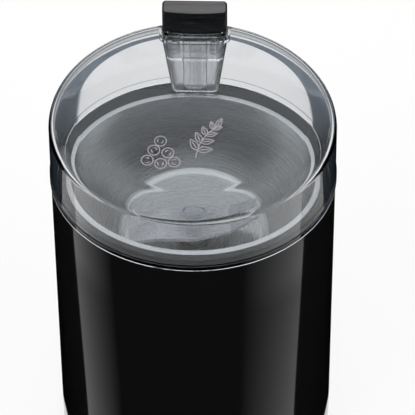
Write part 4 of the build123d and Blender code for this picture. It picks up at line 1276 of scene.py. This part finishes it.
@dataclass
class Lid:
    """Clear lid: bead, wall, rounded shoulder and tilted top, with the button's channel."""

    palette: Palette
    wall: float = 2.0 * MM
    bead: float = 0.3 * MM
    bead_height: float = 3.0 * MM
    shoulder: float = 9.0 * MM
    top_rise: float = 37.9 * MM
    tilt: float = math.radians(2.9)
    channel_foot_rise: float = 4.5 * MM
    shelf_rise: float = 22.0 * MM
    shelf_top_rise: float = 23.5 * MM
    pocket_rise: float = 34.9 * MM
    channel_foot_width: float = 14.1 * MM
    channel_top_width: float = 20.8 * MM
    channel_front_y: float = 33.9 * MM
    channel_back_y: float = 38.1 * MM
    channel_wall: float = 1.4 * MM
    pocket_wall: float = 0.9 * MM
    crease: float = 28.0
    pocket_gap: float = 0.3 * MM
    column_back_y: float = 44.0 * MM
    channel_corner: float = 0.8 * MM
    slot_size: Pair = (9.0 * MM, 3.0 * MM)
    slot_corner: float = 0.4 * MM
    slot_y: float = 36.0 * MM
    edge: float = 0.15 * MM
    lap: float = 0.1 * MM
    over: float = 13.0 * MM
    top_insets: tuple[float, ...] = (0.5 * MM, 3.0 * MM)
    frost_margin: float = 2.0 * MM
    points: int = 384

    def __post_init__(self) -> None:
        """Read the plan from the frame."""
        low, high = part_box("lid_shell")
        self.low_z = low.z
        self.outer = Oval(high.x, high.y)
        self.top_z = PARTING + self.top_rise
        self.foot_z = PARTING + self.channel_foot_rise
        self.shelf_z = PARTING + self.shelf_rise
        self.shelf_top_z = PARTING + self.shelf_top_rise
        self.pocket_z = PARTING + self.pocket_rise
        self.frost_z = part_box("push_button")[0].z

    def height(self, drop: float) -> Callable[[float, float], float]:
        """Surface that lies a drop below the tilted top."""
        slope = math.tan(self.tilt)
        return lambda x, y: self.top_z - drop + slope * y

    def _form(self, inset: float, radius: float, start_z: float) -> list[list[Point]]:
        """Rings of one face of the lid, from the bottom to the middle of the top.

        Args:
            inset: distance inside the outer face.
            radius: shoulder radius of this face.
            start_z: height of the first ring.

        Returns:
            The rings.
        """
        plan = self.outer.inset(self.bead + inset).outline(self.points)
        rings = [ring(plan, start_z)]
        for drawn, rise in rounding(radius, steps=18):
            rings.append(ring(inward(plan, drawn), self.height(inset + radius - rise)))
        for further in self.top_insets:
            rings.append(ring(inward(plan, radius + further), self.height(inset)))
        return rings

    def build(self, button: Button) -> None:
        """Make the shell, add the channel and cut the pockets.

        Args:
            button: the button that the pocket takes.
        """
        outside = self._form(0.0, self.shoulder, self.low_z + self.bead_height + self.bead)
        bead = [
            self.outer.inset(self.edge).ring(self.low_z, self.points),
            self.outer.ring(self.low_z + self.edge, self.points),
            self.outer.ring(self.low_z + self.bead_height - self.lap, self.points),
        ]
        solid = Piece.loft("lid_clear", bead + outside)
        hollow = Piece.loft("hollow", self._form(self.wall, self.shoulder - self.wall, self.low_z - MM))
        for block in self._channel_blocks(button):
            hollow.combine(block)
        solid.combine(hollow)
        for cutter in self._channel_cuts(button):
            solid.combine(cutter)
        solid.sharpen(self.crease)
        solid.dress(self.palette.by_slot[Slot.CLEAR], Slot.CLEAR, Body.LID, ["lid_shell"])
        solid.part_finish(self.palette.frosted, self._in_channel_front)

    def _in_channel_front(self, centre: Vector) -> bool:
        """Whether a point lies on the front wall of the channel.

        Args:
            centre: the point.

        Returns:
            True if it does.
        """
        front = self.channel_front_y - self.channel_wall - self.lap
        within = front < centre.y < self.channel_front_y + self.lap
        beside = abs(centre.x) < self.channel_top_width / 2 + self.frost_margin
        return within and beside and centre.z < self.frost_z

    def _tapered(self, name: str, wall: float, low: float, high: float, back_y: float) -> Piece:
        """Tapered box of the channel between two heights.

        Args:
            name: name of the block.
            wall: wall outside the hollow of the channel.
            low: lower height.
            high: upper height.
            back_y: where its back ends.

        Returns:
            The block.
        """
        front_y = self.channel_front_y - wall
        spread = (self.channel_top_width - self.channel_foot_width) / (self.pocket_z - self.foot_z)
        rings = []
        heights = [low, high] if high <= self.frost_z else [low, self.frost_z, high]
        for z in heights:
            width = self.channel_foot_width + spread * (z - self.foot_z)
            radius = self.channel_corner + wall
            middle_y = (front_y + back_y) / 2
            plan = rounded_box(width + 2 * wall, back_y - front_y, radius, middle_y, per_corner=5)
            rings.append(ring(plan, z))
        return Piece.loft(name, rings)

    def _channel_blocks(self, button: Button) -> list[Piece]:
        """Solid stretches that stay when the lid is hollowed.

        Args:
            button: the button that the pocket takes.

        Returns:
            The blocks.
        """
        plan = button.outline(self.pocket_gap + self.pocket_wall)
        heights = (self.pocket_z - self.channel_wall, self.top_z + self.over)
        upper = Piece.loft("pocket_block", [ring(plan, z) for z in heights])
        column = self._tapered(
            "column", self.channel_wall, self.foot_z, self.pocket_z, self.column_back_y
        )
        return [upper, column]

    def _channel_cuts(self, button: Button) -> list[Piece]:
        """Cutters of the pocket, the spring chamber, the rod chamber and the rod's slot.

        Args:
            button: the button that the pocket takes.

        Returns:
            The cutters.
        """
        back = self.channel_back_y
        plan = button.outline(self.pocket_gap)
        pocket = Piece.loft("pocket", [ring(plan, z) for z in (self.pocket_z, self.top_z + self.over)])
        springs = self._tapered("spring_chamber", 0.0, self.shelf_top_z, self.pocket_z + self.lap, back)
        rod_room = self._tapered("rod_chamber", 0.0, self.foot_z - self.lap, self.shelf_z, back)
        slot_plan = rounded_box(*self.slot_size, self.slot_corner, self.slot_y, per_corner=3)
        heights = (self.shelf_z - self.lap, self.shelf_top_z + self.lap)
        slot = Piece.loft("rod_slot", [ring(slot_plan, z) for z in heights])
        return [pocket, springs, rod_room, slot]


@dataclass
class Print:
    """Raised print on the top of the lid: a leaf sprig and a heap of peppercorns."""

    palette: Palette
    lid: Lid
    line: float = 0.42 * MM
    rise: float = 0.1 * MM
    stem_foot: Pair = (1.5 * MM, -19.5 * MM)
    stem_bow: float = 1.6 * MM
    stem_length: float = 15.0 * MM
    stem_steps: int = 20
    stem_turn: float = math.radians(62.0)
    leaf_length: float = 5.2 * MM
    leaf_width: float = 2.5 * MM
    leaf_form: float = 0.8
    leaf_steps: int = 14
    leaf_pairs: int = 4
    leaf_spread: Pair = (58.0, 5.0)
    pair_places: Pair = (0.22, 0.68)
    pair_shrink: float = 0.12
    end_leaf: float = 0.75
    rib_shares: tuple[float, ...] = (0.18, 0.4, 0.6, 0.78)
    crease: float = 30.0
    sink: float = 0.02 * MM
    crest: float = 0.6
    wrinkles: tuple[Pair, ...] = ((0.6, 0.5), (3.4, 0.45))
    wrinkle_sweep: float = 1.5
    corn_radius: float = 2.05 * MM
    corn_points: int = 28
    corns: tuple[Pair, ...] = (
        (-15.3, -20.6),
        (-10.6, -21.9),
        (-5.9, -21.2),
        (-13.1, -16.4),
        (-8.2, -17.4),
        (-10.9, -12.6),
    )

    def _stroke(self, shape: bmesh.types.BMesh, path: Outline, closed: bool) -> None:
        """Add one printed line that lies on the tilted top.

        Args:
            shape: the bmesh of the print.
            path: its middle, in plan.
            closed: whether it runs back into its start.
        """
        surface = self.lid.height(0.0)
        count = len(path)
        rings = []
        for place, (x, y) in enumerate(path):
            before = path[place - 1] if closed or place else path[0]
            after = path[(place + 1) % count] if closed or place < count - 1 else path[-1]
            along = Vector((after[0] - before[0], after[1] - before[1])).normalized()
            side = Vector((-along.y, along.x)) * self.line / 2
            low = surface(x, y) - self.sink
            high = low + self.rise
            profile = ((1.0, low), (-1.0, low), (-self.crest, high), (self.crest, high))
            rings.append([(x + side.x * share, y + side.y * share, z) for share, z in profile])
        skin(shape, rings, closed, True)

    def _leaf(self, shape: bmesh.types.BMesh, foot: Vector, turn: float, size: float) -> None:
        """Add a leaf with its rib.

        Args:
            shape: the bmesh of the print.
            foot: where it meets the stem.
            turn: its direction.
            size: its share of the full length.
        """
        along = Vector((math.cos(turn), math.sin(turn)))
        across = Vector((-along.y, along.x))
        shares = [step / self.leaf_steps for step in range(self.leaf_steps)]
        points = []
        for share, way in [(share, 1) for share in shares] + [(1 - share, -1) for share in shares]:
            side = way * math.sin(math.pi * share**self.leaf_form)
            point = foot + along * self.leaf_length * size * share
            point += across * self.leaf_width * size / 2 * side
            points.append((point.x, point.y))
        self._stroke(shape, points, True)
        rib = [foot + along * self.leaf_length * size * share for share in self.rib_shares]
        self._stroke(shape, [(point.x, point.y) for point in rib], False)

    def _sprig(self, shape: bmesh.types.BMesh) -> None:
        """Add the stem with its leaves.

        Args:
            shape: the bmesh of the print.
        """
        foot = Vector(self.stem_foot)
        along = Vector((math.cos(self.stem_turn), math.sin(self.stem_turn)))
        across = Vector((-along.y, along.x))

        def stem(share: float) -> Vector:
            """Point of the stem at a share of its length."""
            bow = self.stem_bow * math.sin(math.pi * share)
            return foot + along * self.stem_length * share + across * bow

        path = [stem(step / self.stem_steps) for step in range(self.stem_steps + 1)]
        self._stroke(shape, [(point.x, point.y) for point in path], False)
        for pair in range(self.leaf_pairs):
            share = self.pair_places[0] + self.pair_places[1] * pair / (self.leaf_pairs - 1)
            spread = math.radians(self.leaf_spread[0] - self.leaf_spread[1] * pair)
            for side in (1, -1):
                turn = self.stem_turn + side * spread
                self._leaf(shape, stem(share), turn, 1.0 - self.pair_shrink * pair)
        self._leaf(shape, stem(1.0), self.stem_turn, self.end_leaf)

    def _corn(self, shape: bmesh.types.BMesh, x: float, y: float) -> None:
        """Add one peppercorn: a ring with two short wrinkles.

        Args:
            shape: the bmesh of the print.
            x: its middle, in millimetres.
            y: its middle, in millimetres.
        """
        middle = Vector((x, y)) * MM
        corn = Oval(self.corn_radius, self.corn_radius)
        self._stroke(shape, corn.shifted(middle, self.corn_points), True)
        for start, share in self.wrinkles:
            wrinkle = arc(middle, self.corn_radius * share, start + x, self.wrinkle_sweep, steps=8)
            self._stroke(shape, wrinkle, False)

    def build(self) -> None:
        """Make the print."""
        shape = bmesh.new()
        self._sprig(shape)
        for x, y in self.corns:
            self._corn(shape, x, y)
        motif = Piece.from_bmesh("lid_print", shape).sharpen(self.crease)
        motif.dress(self.palette.print, Slot.MOTOR_PLASTIC, Body.LID)


@dataclass(frozen=True)
class Strip:
    """Upright strip of light: a wedge of the floor, by its angle from the front."""

    apex: Pair
    side: float
    soft_edge: float
    sharp_edge: float
    light: float


@dataclass(frozen=True)
class Lamp:
    """Square soft lamp."""

    name: str
    place: Point
    size: float
    power: float


@dataclass
class Studio:
    """Camera, floor, backdrop light and lamps."""

    azimuth: float = math.radians(1.62)
    pitch: float = math.radians(54.77)
    roll: float = math.radians(-0.49)
    focal_px: float = 5578.0
    frame_px: float = 415.0
    sensor_mm: float = 36.0
    distance: float = 2.0
    aim_right: float = 4.97 * MM
    aim_drop: float = 20.55 * MM
    floor_half: float = 6.0
    floor_z: float = -0.02 * MM
    floor_grey: float = 0.9
    floor_lift: float = 0.82
    world_light: float = 0.55
    tent_radius: float = 0.36
    tent_wall: float = 0.3
    tent_z: float = 0.5 * MM
    tent_top: float = math.radians(88.0)
    tent_steps: int = 12
    tent_tint: tuple = (0.92, 0.97, 1.0, 1.0)
    near_hole: Oval = Oval(51.5 * MM, 42.5 * MM)
    near_z: float = 0.4 * MM
    card_points: int = 96
    wall_light: float = 0.06
    sky_light: float = 0.42
    sky_share: float = 0.8
    through_low: float = 0.25
    through_high: float = 0.8
    through_reach: Pair = (0.08, 0.26)
    surround: tuple = (0.62, 0.78, 1.0, 1.0)
    window: tuple[float, float, float, float] = (-3.0 * MM, 118.0 * MM, 53.0 * MM, 64.0 * MM)
    window_shape: float = 3.0
    window_edge: Pair = (0.95, 1.08)
    window_card: tuple[float, float, float] = (0.2, 0.05, 0.26)
    window_z: Pair = (0.6 * MM, 0.7 * MM)
    mottle_scale: float = 14.0
    mottle_light: float = 0.05
    shade_reach: Pair = (0.12, 0.165)
    shade_light: Pair = (0.02, 0.16)
    far_strip_reach: Pair = (0.135, 0.15)
    far_strip_gain: float = 1.5
    lamp_aim: Point = (0.0, 0.0, 0.1)
    rig: tuple[Lamp, ...] = (
        Lamp("key", (-0.9, -0.7, 1.3), 0.8, 9.0),
        Lamp("fill", (1.0, -0.5, 1.1), 0.8, 6.0),
        Lamp("back", (0.0, 1.1, 1.4), 1.0, 9.0),
    )
    left_strip: Strip = Strip((-16.8 * MM, -28.5 * MM), -1.0, 57.2, 99.0, 0.6)
    right_strip: Strip = Strip((9.0 * MM, -25.4 * MM), 1.0, 32.8, 86.6, 0.6)

    def camera(self) -> None:
        """Stand the camera at the fitted place."""
        forward = Vector(
            (
                -math.sin(self.azimuth) * math.cos(self.pitch),
                math.cos(self.azimuth) * math.cos(self.pitch),
                -math.sin(self.pitch),
            )
        )
        right = Vector((math.cos(self.azimuth), math.sin(self.azimuth), 0.0))
        up = right.cross(forward)
        aim = right * self.aim_right + Vector((0.0, 0.0, PARTING - self.aim_drop))
        turn = Matrix((right, up, -forward)).transposed().to_4x4()
        data = bpy.data.cameras.new("camera")
        data.sensor_width = self.sensor_mm
        data.lens = self.focal_px * self.sensor_mm / self.frame_px
        data.clip_start = 0.05
        camera = bpy.data.objects.new("camera", data)
        camera.matrix_world = (
            Matrix.Translation(aim - forward * self.distance) @ turn @ Matrix.Rotation(self.roll, 4, "Z")
        )
        bpy.context.scene.camera = link(camera)

    @staticmethod
    def _seen(graph: Graph) -> Value:
        """1 for the rays that look at the backdrop itself.

        Args:
            graph: the shader tree.

        Returns:
            The share.
        """
        path = graph.node("ShaderNodeLightPath")
        rays = [graph.out(path, f"Is {kind} Ray") for kind in ("Camera", "Glossy", "Transmission")]
        return rays[0].most(rays[1]).most(rays[2])

    def floor(self) -> None:
        """Lay the pale floor, which keeps the shadow of the object."""
        mesh = bpy.data.meshes.new("floor")
        half, low = self.floor_half, self.floor_z
        corners = [(-half, -half, low), (half, -half, low), (half, half, low), (-half, half, low)]
        mesh.from_pydata(corners, [], [(0, 1, 2, 3)])
        floor = link(bpy.data.objects.new("floor", mesh))
        graph = Graph("pale_floor")
        diffuse = graph.node("ShaderNodeBsdfDiffuse", Color=grey(self.floor_grey))
        white = graph.node("ShaderNodeEmission", Color=grey(1.0), Strength=1.0)
        lift = self._seen(graph) * self.floor_lift
        mixed = graph.node("ShaderNodeMixShader", i0=lift, i1=graph.out(diffuse), i2=graph.out(white))
        graph.close(mixed)
        mesh.materials.append(graph.material)

    def _card(
        self, name: str, rings: Rings, tint: Callable, light: Callable, caps: bool = False
    ) -> bpy.types.Object:
        """Stand a glowing card that only reflections and clear plastic show.

        Args:
            name: name of the card.
            rings: its mesh, as rings.
            tint: gives the colour of its light from the shader graph.
            light: gives its brightness from the shader graph.
            caps: close its ends.

        Returns:
            The card.
        """
        card = Piece.loft(name, rings, caps=caps).object
        graph = Graph(name)
        glow = graph.node("ShaderNodeEmission", Color=tint(graph), Strength=light(graph))
        card.data.materials.append(graph.close(glow))
        card.visible_camera = False
        card.visible_diffuse = False
        card.visible_shadow = False
        card.visible_volume_scatter = False
        return card

    def _strips(self, graph: Graph) -> Value:
        """Two upright strips of light, each with one sharp and one soft side.

        Args:
            graph: the shader tree.

        Returns:
            Their brightness.
        """
        x, y, _ = graph.split(graph.position())
        light = None
        for strip in (self.left_strip, self.right_strip):
            across = (x - strip.apex[0]) * strip.side
            turn = across.angle_to(strip.apex[1] - y) * (180 / math.pi)
            ramp = graph.ramp(turn, strip.soft_edge, strip.sharp_edge, 0.0, strip.light)
            ramp = ramp * (1.0 - turn.above(strip.sharp_edge))
            light = ramp if light is None else light.most(ramp)
        reach = (x * x + y * y) ** 0.5
        return light * graph.ramp(reach, *self.far_strip_reach, 1.0, self.far_strip_gain)

    def flags(self) -> None:
        """Stand the cards that shape what the gloss and the clear lid show."""
        far = Oval(self.tent_radius, self.tent_radius)
        rings = [oval.ring(self.near_z, self.card_points) for oval in (self.near_hole, far)]
        near = self._card("near_card", rings, lambda graph: grey(1.0), self._strips)
        near.visible_transmission = False

        rings = [far.ring(self.tent_z, self.card_points)]
        for step in range(self.tent_steps + 1):
            rise = self.tent_top * step / self.tent_steps
            size = self.tent_radius * math.cos(rise)
            z = self.tent_wall + self.tent_radius * math.sin(rise)
            rings.append(Oval(size, size).ring(z, self.card_points))
        self._card("tent", rings, lambda graph: self.tent_tint, self._sky)

        half, front, back = self.window_card
        plan = [(-half, front), (half, front), (half, back), (-half, back)]
        rings = [ring(plan, z) for z in self.window_z]
        window = self._card("window_card", rings, self._window_tint, self._window, True)
        window.visible_glossy = False

    def _sky(self, graph: Graph) -> Value:
        """Dark wall with the strips, under a pale sky.

        Args:
            graph: the shader tree.

        Returns:
            Its brightness.
        """
        z = graph.split(graph.position())[2]
        reach = self.tent_wall + self.tent_radius * self.sky_share
        top = graph.ramp(z, self.tent_wall, reach, self.wall_light, self.sky_light)
        through = graph.out(graph.node("ShaderNodeLightPath"), "Is Transmission Ray")
        through = through * graph.ramp(z, *self.through_reach, self.through_low, self.through_high)
        return self._strips(graph) * (1.0 - z.above(self.tent_wall)) + top + through

    def _window_tint(self, graph: Graph) -> Value:
        """White inside the pale field, bluish round it."""
        return graph.mix(self._window_share(graph), self.surround, grey(1.0))

    def _window(self, graph: Graph) -> Value:
        """Pale field behind the lid, with a dark surround.

        Args:
            graph: the shader tree.

        Returns:
            Its brightness.
        """
        y = graph.split(graph.position())[1]
        mottle = graph.noise(graph.position(), self.mottle_scale, detail=2.0)
        mottle = graph.ramp(mottle, *NOISE_REACH, 0.0, self.mottle_light)
        dark = mottle + graph.ramp(y, *self.shade_reach, *self.shade_light)
        return dark.most(self._window_share(graph))

    def _window_share(self, graph: Graph) -> Value:
        """1 inside the pale field and 0 outside it.

        Args:
            graph: the shader tree.

        Returns:
            The share.
        """
        x, y, _ = graph.split(graph.position())
        middle_x, middle_y, half_width, half_depth = self.window
        across = abs(x - middle_x) / half_width
        along = abs(y - middle_y) / half_depth
        reach = across**self.window_shape + along**self.window_shape
        return graph.ramp(reach, *self.window_edge, 1.0, 0.0)

    def lamps(self) -> None:
        """Hang the soft lamps and set the world."""
        world = bpy.data.worlds.new("studio")
        bpy.context.scene.world = world
        world.use_nodes = True
        tree = world.node_tree
        background = tree.nodes["Background"]
        background.inputs["Color"].default_value = grey(1.0)
        graph = Graph.on_tree(tree)
        shown = self._seen(graph)
        level = shown * (1.0 - self.world_light) + self.world_light
        tree.links.new(level.socket, background.inputs["Strength"])
        for lamp in self.rig:
            light = bpy.data.lights.new(lamp.name, "AREA")
            light.size = lamp.size
            light.energy = lamp.power
            hung = link(bpy.data.objects.new(lamp.name, light))
            aim = Vector(self.lamp_aim) - Vector(lamp.place)
            hung.rotation_euler = aim.to_track_quat("-Z", "Y").to_euler()
            hung.location = lamp.place

    def build(self) -> None:
        """Set up the whole stage."""
        bpy.context.scene.view_settings.view_transform = "Standard"
        self.camera()
        self.floor()
        self.flags()
        self.lamps()


def main() -> None:
    """Build every sub-assembly in order."""
    logging.basicConfig(level=logging.INFO)
    palette = Palette()
    palette.dress_frame()
    Studio().build()
    housing = Housing(palette)
    housing.build()
    bowl = Bowl(palette)
    bowl.build()
    Deck(palette).build(housing, bowl)
    button = Button(palette)
    button.build()
    lid = Lid(palette)
    lid.build(button)
    Print(palette, lid).build()


if __name__ == "__main__":
    main()
